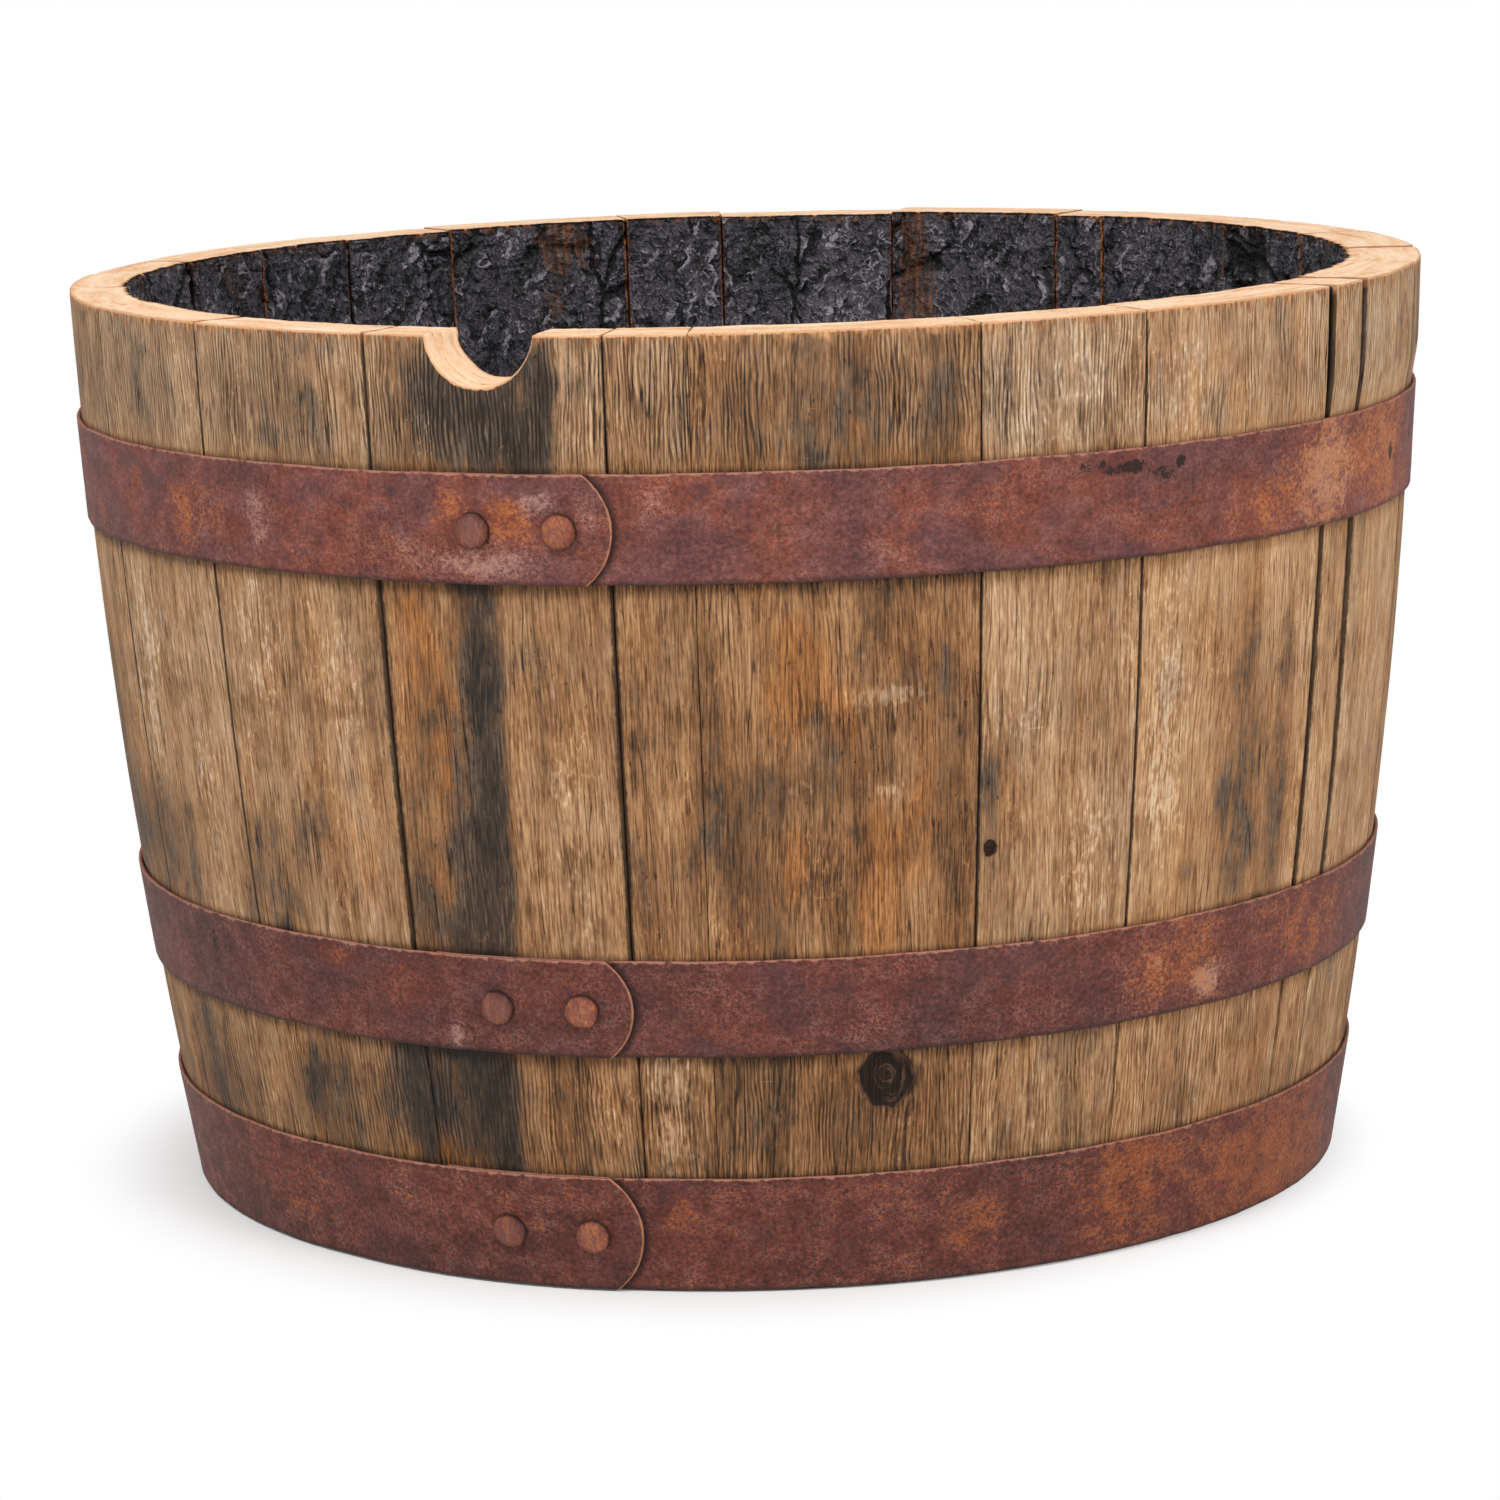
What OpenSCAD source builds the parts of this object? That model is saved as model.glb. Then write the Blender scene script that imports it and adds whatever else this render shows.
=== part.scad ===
// Half whisky barrel, cut across just below its widest plane and stood on its head as a planter.
// Oak staves stand in a ring, three riveted steel hoops hold them, and a round head of doweled
// boards sits in the groove near their feet. The bung hole was sawn through, so half of it
// is left as a notch in the rim. Millimetres, +Z up, origin at the centre of the footprint,
// the notch faces -Y.

/* [Barrel] */
// Outside diameter across the sawn rim
rim_diameter = 653; // [620:1:700]
// Outside diameter across the stave ends at the floor
base_diameter = 561; // [520:1:590]
// Height from the stave ends to the rim
height = 438; // [400:1:520]
// Radius that the staves are bent to, along their length
stave_bend = 3050; // [1800:10:4000]

/* [Staves] */
// Wall thickness at the rim, before each stave's own difference
rim_wall = 30; // [27:0.5:36]
// Wall thickness at the stave ends
chime_wall = 28; // [24:0.5:34]
// Gap between two staves that still close tight
stave_gap = 0.3; // [0.1:0.05:0.6]
// Gap at the rim on each side of the narrow stave that has dried loose
open_gap = 3.5; // [1:0.1:6]
// Height of the bevel inside the stave ends
chime_bevel_height = 10; // [4:0.5:12]
// Width of the bevel inside the stave ends
chime_bevel_width = 11; // [4:0.5:14]
// Chamfer outside the stave ends
foot_chamfer = 2; // [0.5:0.1:4]

/* [Bung notch] */
// Diameter of the bung hole at the outside of the wall
bung_diameter = 52; // [40:0.5:60]
// Height of the bung hole's centre above the sawn rim
bung_rise = 3; // [-6:0.5:8]
// Taper of the bung hole's wall, in degrees
bung_taper = 3; // [0:0.5:6]

/* [Head] */
// Thickness of the head boards
head_thickness = 24; // [18:0.5:30]
// Height of the middle of the head above the stave ends
croze_height = 40; // [34:0.5:55]
// Depth of the groove that holds the head, from the planed wall
croze_depth = 6; // [4:0.25:9]
// Thickness of the head's tongue in the groove
tongue_thickness = 5; // [3:0.25:8]
// Clearance between the tongue and its groove
head_fit = 0.2; // [0.1:0.05:0.5]
// Depth that the wall is planed to around the groove
howel_depth = 1.5; // [0.5:0.25:3]
// Radius of that planed hollow
howel_bend = 260; // [150:10:400]
// Width of the bevel round the head, on its upper side
upper_bevel = 8; // [4:0.5:14]
// Width of the bevel round the head, on its lower side
lower_bevel = 16; // [8:0.5:24]
// Gap between two head boards
board_gap = 0.3; // [0.1:0.05:0.8]
// Angle of the head's boards against the notch, in degrees
head_turn = 24; // [0:1:90]
// Diameter of the dowels between the head boards
dowel_diameter = 8; // [6:0.5:12]
// Length of those dowels
dowel_length = 44; // [30:1:50]
// Distance between the two dowels of a joint
dowel_spacing = 140; // [80:1:180]
// Clearance round a dowel
dowel_fit = 0.1; // [0.05:0.05:0.3]
// Diameter of the drain holes
drain_diameter = 12.7; // [8:0.1:16]
// Distance of the outer drain holes from the middle of their boards
drain_spread = 120; // [90:1:160]

/* [Hoops] */
// Thickness of the hoop steel
strip_thickness = 2; // [1.2:0.1:3]
// Clearance between a hoop and the staves
hoop_fit = 0.2; // [0.1:0.05:0.5]
// Width of the bilge hoop
bilge_width = 49; // [40:0.5:60]
// Distance from the rim down to the bilge hoop
bilge_drop = 60.5; // [50:0.5:80]
// Width of the quarter hoop
quarter_width = 45; // [38:0.5:56]
// Height of the quarter hoop above the stave ends
quarter_height = 113; // [80:0.5:140]
// Width of the chime hoop
chime_width = 54; // [40:0.5:64]
// Height of the chime hoop above the stave ends
chime_height = 1; // [0.5:0.5:8]

/* [Hoop laps] */
// Angle from the notch to the tip of the bilge hoop's lap, in degrees
bilge_lap = 10.3; // [-40:0.1:40]
// Angle from the notch to the tip of the quarter hoop's lap, in degrees
quarter_lap = 10; // [-40:0.1:40]
// Angle from the notch to the tip of the chime hoop's lap, in degrees
chime_lap = 9.6; // [-40:0.1:40]
// Radius that the outer end of a hoop is rounded to, as a share of the hoop's width
tip_round = 0.63; // [0.58:0.01:0.9]
// Distance from the tip to the first rivet
tip_margin = 23; // [18:0.5:30]
// Distance between the two rivets of a lap
rivet_pitch = 39.5; // [30:0.5:60]
// Length of the inner end beyond the second rivet
tail_margin = 30; // [20:0.5:50]
// Length over which the hoop steps outwards onto its own end
step_length = 60; // [45:1:100]
// How much narrower the outer layer of a lap is, at each edge
lap_ease = 0.15; // [0.1:0.05:0.5]
// Clearance between the two layers of a lap
lap_fit = 0.1; // [0.05:0.05:0.3]

/* [Rivets] */
// Diameter of a rivet's head
rivet_head = 14; // [11:0.5:18]
// Height of a rivet's head
rivet_rise = 3.5; // [2:0.1:5]
// Height of the head's upright edge
rivet_edge = 0.8; // [0.4:0.1:1.4]
// Diameter of a rivet's shank
rivet_shank = 8; // [5:0.5:9]
// Clearance round a shank and under a head
rivet_fit = 0.1; // [0.05:0.05:0.3]

/* [Hidden] */
// Breadth of each stave at the rim, anticlockwise from the one with the notch. They share
// the whole ring in these proportions.
stave_breadths = [113, 37, 128, 82, 125, 31, 85, 85, 91, 91, 99, 34,
                  105, 102, 57, 111, 71, 71, 71, 74, 74, 102, 99, 105];
// How much each stave's wall differs from rim_wall at the rim
stave_extras = [0, 1, 0, 1, 3, 4, 5, 5, 4, 3, 1, 0,
                0, -1, 1, -1, 0, -2, -2, -4, -4, -3, -2, -1];
// The narrow stave that has dried loose
loose_stave = 5;
// Breadth of each head board. They share the head's diameter in these proportions.
board_breadths = [62, 76, 84, 80, 78, 76, 65];
// Drain holes in each head board: one in its middle, or a pair
drain_counts = [0, 0, 2, 1, 2, 0, 0];

ring_facets = 240;
bend_facets = 1440;
small_facets = 48;
overcut = 5;
// Angle by which a hoop and its outer layer run into each other
lap_overlap = 1;

rim_r = rim_diameter / 2;
base_r = base_diameter / 2;
notch_angle = -90;
stave_count = len(stave_breadths);
board_count = len(board_breadths);

function total(list, count) = count == 0 ? 0 : list[count - 1] + total(list, count - 1);
function degrees_of(length, r) = length / r * 180 / PI;

// Angle of the joint before each stave
ring_breadth = total(stave_breadths, stave_count);
function joint_angle(i) =
    notch_angle + (total(stave_breadths, i) - stave_breadths[0] / 2) * 360 / ring_breadth;
function joint_gap(i) = i == loose_stave || i == loose_stave + 1 ? open_gap : stave_gap;

// Centre, in radius and height, of the bend through a foot and a rim radius
function bend_centre(foot, rim) =
    let (chord = [rim - foot, height], span = norm(chord),
         reach = sqrt(stave_bend ^ 2 - span ^ 2 / 4))
    [(foot + rim) / 2 - reach * chord.y / span, height / 2 + reach * chord.x / span];
function bend_r(centre, z) = centre.x + sqrt(stave_bend ^ 2 - (z - centre.y) ^ 2);

outer_centre = bend_centre(base_r, rim_r);
inner_centre = bend_centre(base_r - chime_wall, rim_r - rim_wall);

// The head's groove is cut round the whole ring at once, so it has one radius
seat = [bend_r(inner_centre, croze_height), croze_height];
howel_centre = seat + (inner_centre - seat) * (howel_bend - howel_depth) / stave_bend;
croze_r = seat.x + croze_depth;
croze_gap = tongue_thickness + 2 * head_fit;
head_r = croze_r - head_fit;
tongue_length = croze_depth + 1;
board_scale = 2 * head_r / total(board_breadths, board_count);
function board_edge(i) = total(board_breadths, i) * board_scale - head_r;
function board_middle(i) = (board_edge(i) + board_edge(i + 1)) / 2;

bilge_height = height - bilge_drop - bilge_width;

// A hoop as [height of its lower edge, width, angle of its tip]
bilge = [bilge_height, bilge_width, notch_angle + bilge_lap];
quarter = [quarter_height, quarter_width, notch_angle + quarter_lap];
chime = [chime_height, chime_width, notch_angle + chime_lap];

// A hoop is a straight cone, so it stands off the bulge of the staves by the bulge's rise
function hoop_r(hoop, up) =
    bend_r(outer_centre, hoop[0] + up * hoop[1]) + hoop_fit + hoop[1] ^ 2 / (8 * stave_bend);
function hoop_lean(hoop) = atan((hoop_r(hoop, 1) - hoop_r(hoop, 0)) / hoop[1]);
function hoop_middle(hoop) = (hoop_r(hoop, 0) + hoop_r(hoop, 1)) / 2;
function strip_breadth(hoop) = strip_thickness / cos(hoop_lean(hoop));
function rivet_angle(hoop, i) =
    hoop[2] - degrees_of(tip_margin + i * rivet_pitch, hoop_middle(hoop));
function tail_angle(hoop) = rivet_angle(hoop, 1) - degrees_of(tail_margin, hoop_middle(hoop));

// The outer layer of a lap is one arc with a centre of its own. It leaves the hoop where the
// step starts, clears the hoop's inner end, the tail, and is back at that radius at the tip.
function lap_lift(hoop) = strip_breadth(hoop) + lap_fit;
function lap_middle(hoop) = (tail_angle(hoop) + hoop[2]) / 2;
function lap_half(hoop) = (hoop[2] - tail_angle(hoop)) / 2;
function lap_reach(hoop) = lap_half(hoop) + degrees_of(step_length, hoop_middle(hoop));
function lap_offset(hoop) =
    let (near = hoop_middle(hoop), far = near + lap_lift(hoop))
    (far ^ 2 - near ^ 2) / (far * cos(lap_half(hoop)) - near * cos(lap_reach(hoop))) / 2;
function lap_bend(hoop) =
    let (near = hoop_middle(hoop), offset = lap_offset(hoop))
    sqrt(near ^ 2 + offset ^ 2 - 2 * near * offset * cos(lap_reach(hoop)));
function tip_radius(hoop) = tip_round * hoop[1];
// Distance of the outer layer's inner face from the hoop's axis
function lap_r(hoop, angle) =
    let (turn = angle - lap_middle(hoop), offset = lap_offset(hoop))
    offset * cos(turn) + sqrt(lap_bend(hoop) ^ 2 - (offset * sin(turn)) ^ 2);
// The same angle seen from the outer layer's own centre
function lap_turn(hoop, angle) =
    let (turn = angle - lap_middle(hoop), r = lap_r(hoop, angle))
    atan2(r * sin(turn), r * cos(turn) - lap_offset(hoop));

function padded(i) = str(i < 10 ? "0" : "", i);
stave_names = [for (i = [0:stave_count - 1]) i == 0 ? "stave_bung" : str("stave_", padded(i + 1))];
board_names = [for (i = [0:board_count - 1]) str("head_board_", i + 1)];

// ---- Staves ----

// Section of the wall, in radius and height
module wall_section(wall) {
    difference() {
        intersection() {
            translate(outer_centre) circle(r = stave_bend, $fn = bend_facets);
            square([2 * rim_r, height]);
        }
        translate(bend_centre(base_r - chime_wall, rim_r - wall))
            circle(r = stave_bend, $fn = bend_facets);
        translate(howel_centre) circle(r = howel_bend, $fn = bend_facets);
        translate([0, croze_height - croze_gap / 2]) square([croze_r, croze_gap]);
        polygon([[0, 0], [base_r - chime_wall + chime_bevel_width, 0],
                 [base_r - chime_wall, chime_bevel_height], [0, chime_bevel_height]]);
        polygon([[base_r - foot_chamfer, 0], [base_r + foot_chamfer, 0],
                 [base_r + foot_chamfer, 2 * foot_chamfer]]);
    }
}

// The gap between two staves, wider at the rim beside the loose stave
module joint_cut(i) {
    slope = (joint_gap(i) - stave_gap) / 2 / height;
    foot = stave_gap / 2 - slope * overcut;
    rim = joint_gap(i) / 2 + slope * overcut;
    rotate([90, 0, joint_angle(i) + 90])
        linear_extrude(rim_r + overcut)
            polygon([[-foot, -overcut], [foot, -overcut],
                     [rim, height + overcut], [-rim, height + overcut]]);
}

module bung_cut() {
    inside = rim_r - 2 * rim_wall;
    span = 3 * rim_wall;
    flare = tan(bung_taper);
    translate([0, -inside, height + bung_rise])
        rotate([90, 0, 0])
            cylinder(h = span, r1 = bung_diameter / 2 - (rim_r - inside) * flare,
                     r2 = bung_diameter / 2 + (inside + span - rim_r) * flare,
                     $fn = 2 * small_facets);
}

module stave(i) {
    color(i % 3 == 0 ? "#b9a082" : i % 3 == 1 ? "#c7b193" : "#ad8f6d")
        difference() {
            rotate([0, 0, joint_angle(i)])
                rotate_extrude(angle = joint_angle(i + 1) - joint_angle(i), $fn = ring_facets)
                    wall_section(rim_wall + stave_extras[i]);
            joint_cut(i);
            joint_cut(i + 1);
            if (i == 0) bung_cut();
        }
}

// ---- Head ----

module head_disc() {
    low = croze_height - head_thickness / 2;
    high = croze_height + head_thickness / 2;
    step = tongue_thickness / 2;
    shoulder = head_r - tongue_length;
    rotate_extrude($fn = ring_facets)
        polygon([[0, low], [shoulder - lower_bevel, low], [shoulder, croze_height - step],
                 [head_r, croze_height - step], [head_r, croze_height + step],
                 [shoulder, croze_height + step], [shoulder - upper_bevel, high], [0, high]]);
}

// The two dowels of the joint before board i, or the holes for them
module joint_dowels(i, room) {
    for (side = [-1, 1])
        translate([board_edge(i), side * dowel_spacing / 2, croze_height])
            rotate([0, 90, 0])
                cylinder(h = dowel_length + 2 * room, d = dowel_diameter + 2 * room,
                         center = true, $fn = small_facets);
}

module drain_cuts(i) {
    for (side = drain_counts[i] >= 2 ? [-1, 1] : drain_counts[i] >= 1 ? [0] : [])
        translate([board_middle(i), side * drain_spread, 0])
            cylinder(h = croze_height + head_thickness, d = drain_diameter, $fn = small_facets);
}

module head_board(i) {
    color("#4a3b30")
        rotate([0, 0, head_turn])
            difference() {
                intersection() {
                    head_disc();
                    translate([board_edge(i) + (i > 0 ? board_gap / 2 : -overcut), -head_r, 0])
                        cube([board_edge(i + 1) - board_edge(i)
                                  - (i > 0 ? board_gap / 2 : -overcut)
                                  + (i < board_count - 1 ? -board_gap / 2 : overcut),
                              2 * head_r, croze_height + head_thickness]);
                }
                if (i > 0) joint_dowels(i, dowel_fit);
                if (i < board_count - 1) joint_dowels(i + 1, dowel_fit);
                drain_cuts(i);
            }
}

module head_dowels() {
    color("#c9a56f")
        rotate([0, 0, head_turn])
            for (i = [1:board_count - 1]) joint_dowels(i, 0);
}

// ---- Hoops ----

// Section of a hoop's strip, moved outwards by lift and narrowed at both edges by ease
module strip_section(hoop, lift, ease) {
    slope = tan(hoop_lean(hoop));
    low = hoop_r(hoop, 0) + lift + slope * ease;
    high = hoop_r(hoop, 1) + lift - slope * ease;
    breadth = strip_breadth(hoop);
    translate([0, hoop[0]])
        polygon([[low, ease], [low + breadth, ease],
                 [high + breadth, hoop[1] - ease], [high, hoop[1] - ease]]);
}

module strip_arc(hoop, from, to, lift = 0, ease = 0) {
    rotate([0, 0, from])
        rotate_extrude(angle = to - from, $fn = ring_facets) strip_section(hoop, lift, ease);
}

// Stands its children on a hoop at an angle and a radius: X outwards, Y along the hoop
module on_hoop(hoop, angle, r) {
    rotate([0, 0, angle])
        translate([r, 0, hoop[0] + hoop[1] / 2])
            rotate([0, hoop_lean(hoop), 0]) children();
}

// The lap's outer layer, with its rounded end
module lap_layer(hoop) {
    tip_centre = hoop[2] - degrees_of(tip_radius(hoop), hoop_middle(hoop));
    start = lap_turn(hoop, lap_middle(hoop) - lap_reach(hoop) - lap_overlap);
    end = lap_turn(hoop, hoop[2] + lap_overlap);
    difference() {
        rotate([0, 0, lap_middle(hoop)])
            translate([lap_offset(hoop), 0, 0])
                strip_arc(hoop, start, end, lap_bend(hoop) - hoop_middle(hoop), lap_ease);
        on_hoop(hoop, tip_centre, lap_r(hoop, tip_centre))
            rotate([90, 0, 90])
                linear_extrude(4 * strip_thickness, center = true)
                    difference() {
                        translate([0, -hoop[1]]) square([2 * tip_radius(hoop), 2 * hoop[1]]);
                        circle(r = tip_radius(hoop), $fn = 4 * small_facets);
                    }
    }
}

module hoop(hoop) {
    step_start = lap_middle(hoop) - lap_reach(hoop);
    color("#8d7a74")
        difference() {
            union() {
                strip_arc(hoop, tail_angle(hoop), step_start + 360 + lap_overlap);
                lap_layer(hoop);
            }
            for (i = [0, 1])
                on_hoop(hoop, rivet_angle(hoop, i), hoop_middle(hoop))
                    rotate([0, 90, 0])
                        cylinder(h = 8 * strip_thickness, d = rivet_shank + 2 * rivet_fit,
                                 center = true, $fn = small_facets);
        }
}

// ---- Rivets ----

// One rivet along X: its head stands on X = 0, its shank reaches back through the lap
module rivet(shank) {
    rise = rivet_rise - rivet_edge;
    dome = ((rivet_head / 2) ^ 2 + rise ^ 2) / (2 * rise);
    rotate([0, 90, 0]) {
        rotate_extrude($fn = small_facets)
            intersection() {
                translate([0, rivet_rise - dome]) circle(r = dome, $fn = 4 * small_facets);
                square([rivet_head / 2, rivet_rise]);
            }
        translate([0, 0, -shank])
            cylinder(h = shank + rivet_edge / 2, d = rivet_shank, $fn = small_facets);
    }
}

module rivets(hoop) {
    color("#7d6a64")
        for (i = [0, 1]) {
            angle = rivet_angle(hoop, i);
            lap = lap_r(hoop, angle) + strip_breadth(hoop) - hoop_middle(hoop);
            seat = lap * cos(hoop_lean(hoop)) + rivet_fit;
            on_hoop(hoop, angle, hoop_middle(hoop)) translate([seat, 0, 0]) rivet(seat);
        }
}

for (i = [0:stave_count - 1])
    stave(i);
for (i = [0:board_count - 1])
    head_board(i);
head_dowels();
hoop(bilge);  // hoop_bilge
hoop(quarter);  // hoop_quarter
hoop(chime);  // hoop_chime
rivets(bilge);  // rivets_bilge
rivets(quarter);  // rivets_quarter
rivets(chime);  // rivets_chime
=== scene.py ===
"""Looks of a half whisky barrel used as a planter: bent oak staves, charred inside, in three
riveted steel hoops, round a head of seven boards. Metres, +Z up, the bung notch faces -Y."""
import math

import bmesh
import bpy
import numpy as np
from mathutils import Matrix


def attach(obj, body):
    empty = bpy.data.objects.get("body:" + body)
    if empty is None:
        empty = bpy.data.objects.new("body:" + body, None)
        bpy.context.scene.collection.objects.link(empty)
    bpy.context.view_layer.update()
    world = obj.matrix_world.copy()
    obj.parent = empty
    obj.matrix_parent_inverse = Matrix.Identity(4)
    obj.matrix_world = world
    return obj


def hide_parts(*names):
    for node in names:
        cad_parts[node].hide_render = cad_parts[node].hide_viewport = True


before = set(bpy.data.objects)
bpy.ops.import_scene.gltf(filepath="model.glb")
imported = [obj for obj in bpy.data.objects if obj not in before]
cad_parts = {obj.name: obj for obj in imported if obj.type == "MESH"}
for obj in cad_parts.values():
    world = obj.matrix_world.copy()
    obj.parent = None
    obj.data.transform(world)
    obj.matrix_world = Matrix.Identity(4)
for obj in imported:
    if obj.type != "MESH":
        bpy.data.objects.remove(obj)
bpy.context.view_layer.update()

# ---- Sizes, as the part's source has them ----

RIM_RADIUS = 0.3265
BASE_RADIUS = 0.2805
HEIGHT = 0.438
STAVE_BEND = 3.05
RIM_WALL = 0.030
CHIME_WALL = 0.028
STAVE_GAP = 0.0003
OPEN_GAP = 0.0035
BEVEL_HEIGHT = 0.010
BEVEL_WIDTH = 0.011
BUNG_RADIUS = 0.026
BUNG_RISE = 0.003
BUNG_TAPER = math.tan(math.radians(3))
CROZE_HEIGHT = 0.040
CROZE_DEPTH = 0.006
CROZE_GAP = 0.0054
HOWEL_DEPTH = 0.0015
HOWEL_BEND = 0.260
HEAD_TURN = math.radians(24)
STRIP_THICKNESS = 0.002
HOOP_FIT = 0.0002
STEP_LENGTH = 0.060
LAP_FIT = 0.0001
TIP_ROUND = 0.63
TIP_MARGIN = 0.023
RIVET_PITCH = 0.0395
TAIL_MARGIN = 0.030
RIVET_HEAD = 0.014
RIVET_RISE = 0.0035
STAVE_BREADTHS = (113, 37, 128, 82, 125, 31, 85, 85, 91, 91, 99, 34,
                  105, 102, 57, 111, 71, 71, 71, 74, 74, 102, 99, 105)
STAVE_EXTRAS = (0, 1, 0, 1, 3, 4, 5, 5, 4, 3, 1, 0, 0, -1, 1, -1, 0, -2, -2, -4, -4, -3, -2, -1)
LOOSE_STAVE = 5
STAVE_COUNT = len(STAVE_BREADTHS)

# Name: height of the lower edge, width, angle of the tip from the notch in degrees
HOOPS = {
    "bilge": (0.3285, 0.049, 10.3),
    "quarter": (0.113, 0.045, 10.0),
    "chime": (0.001, 0.054, 9.6),
}


def bend_centre(foot, rim):
    """Radius and height of the centre that a stave's face is bent about."""
    chord_r, span = rim - foot, math.hypot(rim - foot, HEIGHT)
    reach = math.sqrt(STAVE_BEND ** 2 - span ** 2 / 4)
    return ((foot + rim) / 2 - reach * HEIGHT / span, HEIGHT / 2 + reach * chord_r / span)


OUTER_CENTRE = bend_centre(BASE_RADIUS, RIM_RADIUS)
SEAT_CENTRE = bend_centre(BASE_RADIUS - CHIME_WALL, RIM_RADIUS - RIM_WALL)


def bend_radius(centre, z):
    return centre[0] + math.sqrt(STAVE_BEND ** 2 - (z - centre[1]) ** 2)


SEAT = (bend_radius(SEAT_CENTRE, CROZE_HEIGHT), CROZE_HEIGHT)
HOWEL_CENTRE = tuple(
    s + (c - s) * (HOWEL_BEND - HOWEL_DEPTH) / STAVE_BEND for s, c in zip(SEAT, SEAT_CENTRE))
CROZE_RADIUS = SEAT[0] + CROZE_DEPTH


def joint_angle(i):
    share = (sum(STAVE_BREADTHS[:i]) - STAVE_BREADTHS[0] / 2) / sum(STAVE_BREADTHS)
    return math.radians(-90 + 360 * share)


def joint_gap(i):
    return OPEN_GAP if i % STAVE_COUNT in (LOOSE_STAVE, LOOSE_STAVE + 1) else STAVE_GAP


# ---- Node trees written as expressions ----

class Wire:
    """A node's output, worked with like a number: each operation adds its Math node."""

    def __init__(self, nodes, socket):
        self.nodes, self.socket = nodes, socket

    def other(self, name):
        """Another output of the same node."""
        return Wire(self.nodes, self.socket.node.outputs[name])

    def __pow__(self, value):
        return self.nodes.math("POWER", self, value)

    def __abs__(self):
        return self.nodes.math("ABSOLUTE", self)


def operator(operation, swapped):
    def work(wire, value):
        pair = (value, wire) if swapped else (wire, value)
        return wire.nodes.math(operation, *pair)
    return work


for word, operation in (("add", "ADD"), ("sub", "SUBTRACT"), ("mul", "MULTIPLY"),
                        ("truediv", "DIVIDE")):
    setattr(Wire, f"__{word}__", operator(operation, False))
    setattr(Wire, f"__r{word}__", operator(operation, True))


class Nodes:
    """Adds nodes to one tree: settings first, then the values or links of the sockets."""

    def __init__(self, tree):
        self.tree = tree

    def fill(self, made, inputs):
        """Links or sets the named inputs of a node."""
        for name, value in inputs.items():
            if isinstance(value, Wire):
                self.tree.links.new(value.socket, made.inputs[name])
            else:
                made.inputs[name].default_value = value

    def node(self, kind, settings=None, inputs=None, output=0):
        made = self.tree.nodes.new(kind)
        for name, value in (settings or {}).items():
            setattr(made, name, value)
        self.fill(made, inputs or {})
        return Wire(self, made.outputs[output])

    def show(self, share, first, second, end):
        """Ends the tree with a blend of two shaders."""
        whole = self.node("ShaderNodeMixShader", None,
                          {0: share, 1: Wire(self, first.outputs[0]), 2: second})
        self.fill(self.tree.nodes[end], {"Surface": whole})

    def math(self, operation, *values):
        return self.node("ShaderNodeMath", {"operation": operation}, dict(enumerate(values)))

    def low(self, a, b):
        return self.math("MINIMUM", a, b)

    def high(self, a, b):
        return self.math("MAXIMUM", a, b)

    def clip(self, value, low, high):
        return self.low(self.high(value, low), high)

    def root(self, value):
        return self.math("SQRT", self.high(value, 0))

    def sine(self, value):
        return self.math("SINE", value)

    def cosine(self, value):
        return self.math("COSINE", value)

    def smooth(self, value, low, high):
        """0 at low and 1 at high, eased; low may be the greater of the two."""
        return self.node("ShaderNodeMapRange", {"interpolation_type": "SMOOTHSTEP"},
                         {0: value, 1: low, 2: high, 3: 0, 4: 1})

    def line(self, value, low, high, start=0, end=1):
        """From start at low to end at high, held at both."""
        return self.node("ShaderNodeMapRange", None,
                         {0: value, 1: low, 2: high, 3: start, 4: end})

    def blend(self, a, b, share):
        return a + (b - a) * share

    def crowd(self, value, share):
        """Steps from 0 to 1, crowded to both ends."""
        return value - self.sine(value * math.tau) * share / math.tau

    def xyz(self, x, y, z=0):
        return self.node("ShaderNodeCombineXYZ", None, {0: x, 1: y, 2: z})

    def around(self, turn, radius, z):
        """The place at an angle and radius round the barrel's axis."""
        return self.xyz(self.cosine(turn) * radius, self.sine(turn) * radius, z)

    def parts(self, vector):
        first = self.node("ShaderNodeSeparateXYZ", None, {0: vector})
        return first, first.other(1), first.other(2)

    def noise(self, x, y, z, detail=2, roughness=0.5):
        return self.node("ShaderNodeTexNoise", None,
                         {"Vector": self.xyz(x, y, z), "Scale": 1, "Detail": detail,
                          "Roughness": roughness})

    def ripple(self, *rule):
        """Noise that swings round zero."""
        return self.noise(*rule) - 0.5

    def cells(self, vector, feature="DISTANCE_TO_EDGE", output="Distance"):
        """Cracks between cells, or the cells themselves with the feature F1."""
        return self.node("ShaderNodeTexVoronoi", {"feature": feature},
                         {"Vector": vector, "Scale": 1}, output)


def linear(colour):
    """A colour as it looks on a screen, 0 to 255, as the shader wants it."""
    return tuple((c / 255 / 12.92 if c <= 10 else ((c / 255 + 0.055) / 1.055) ** 2.4)
                 for c in colour) + (1.0,)


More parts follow.
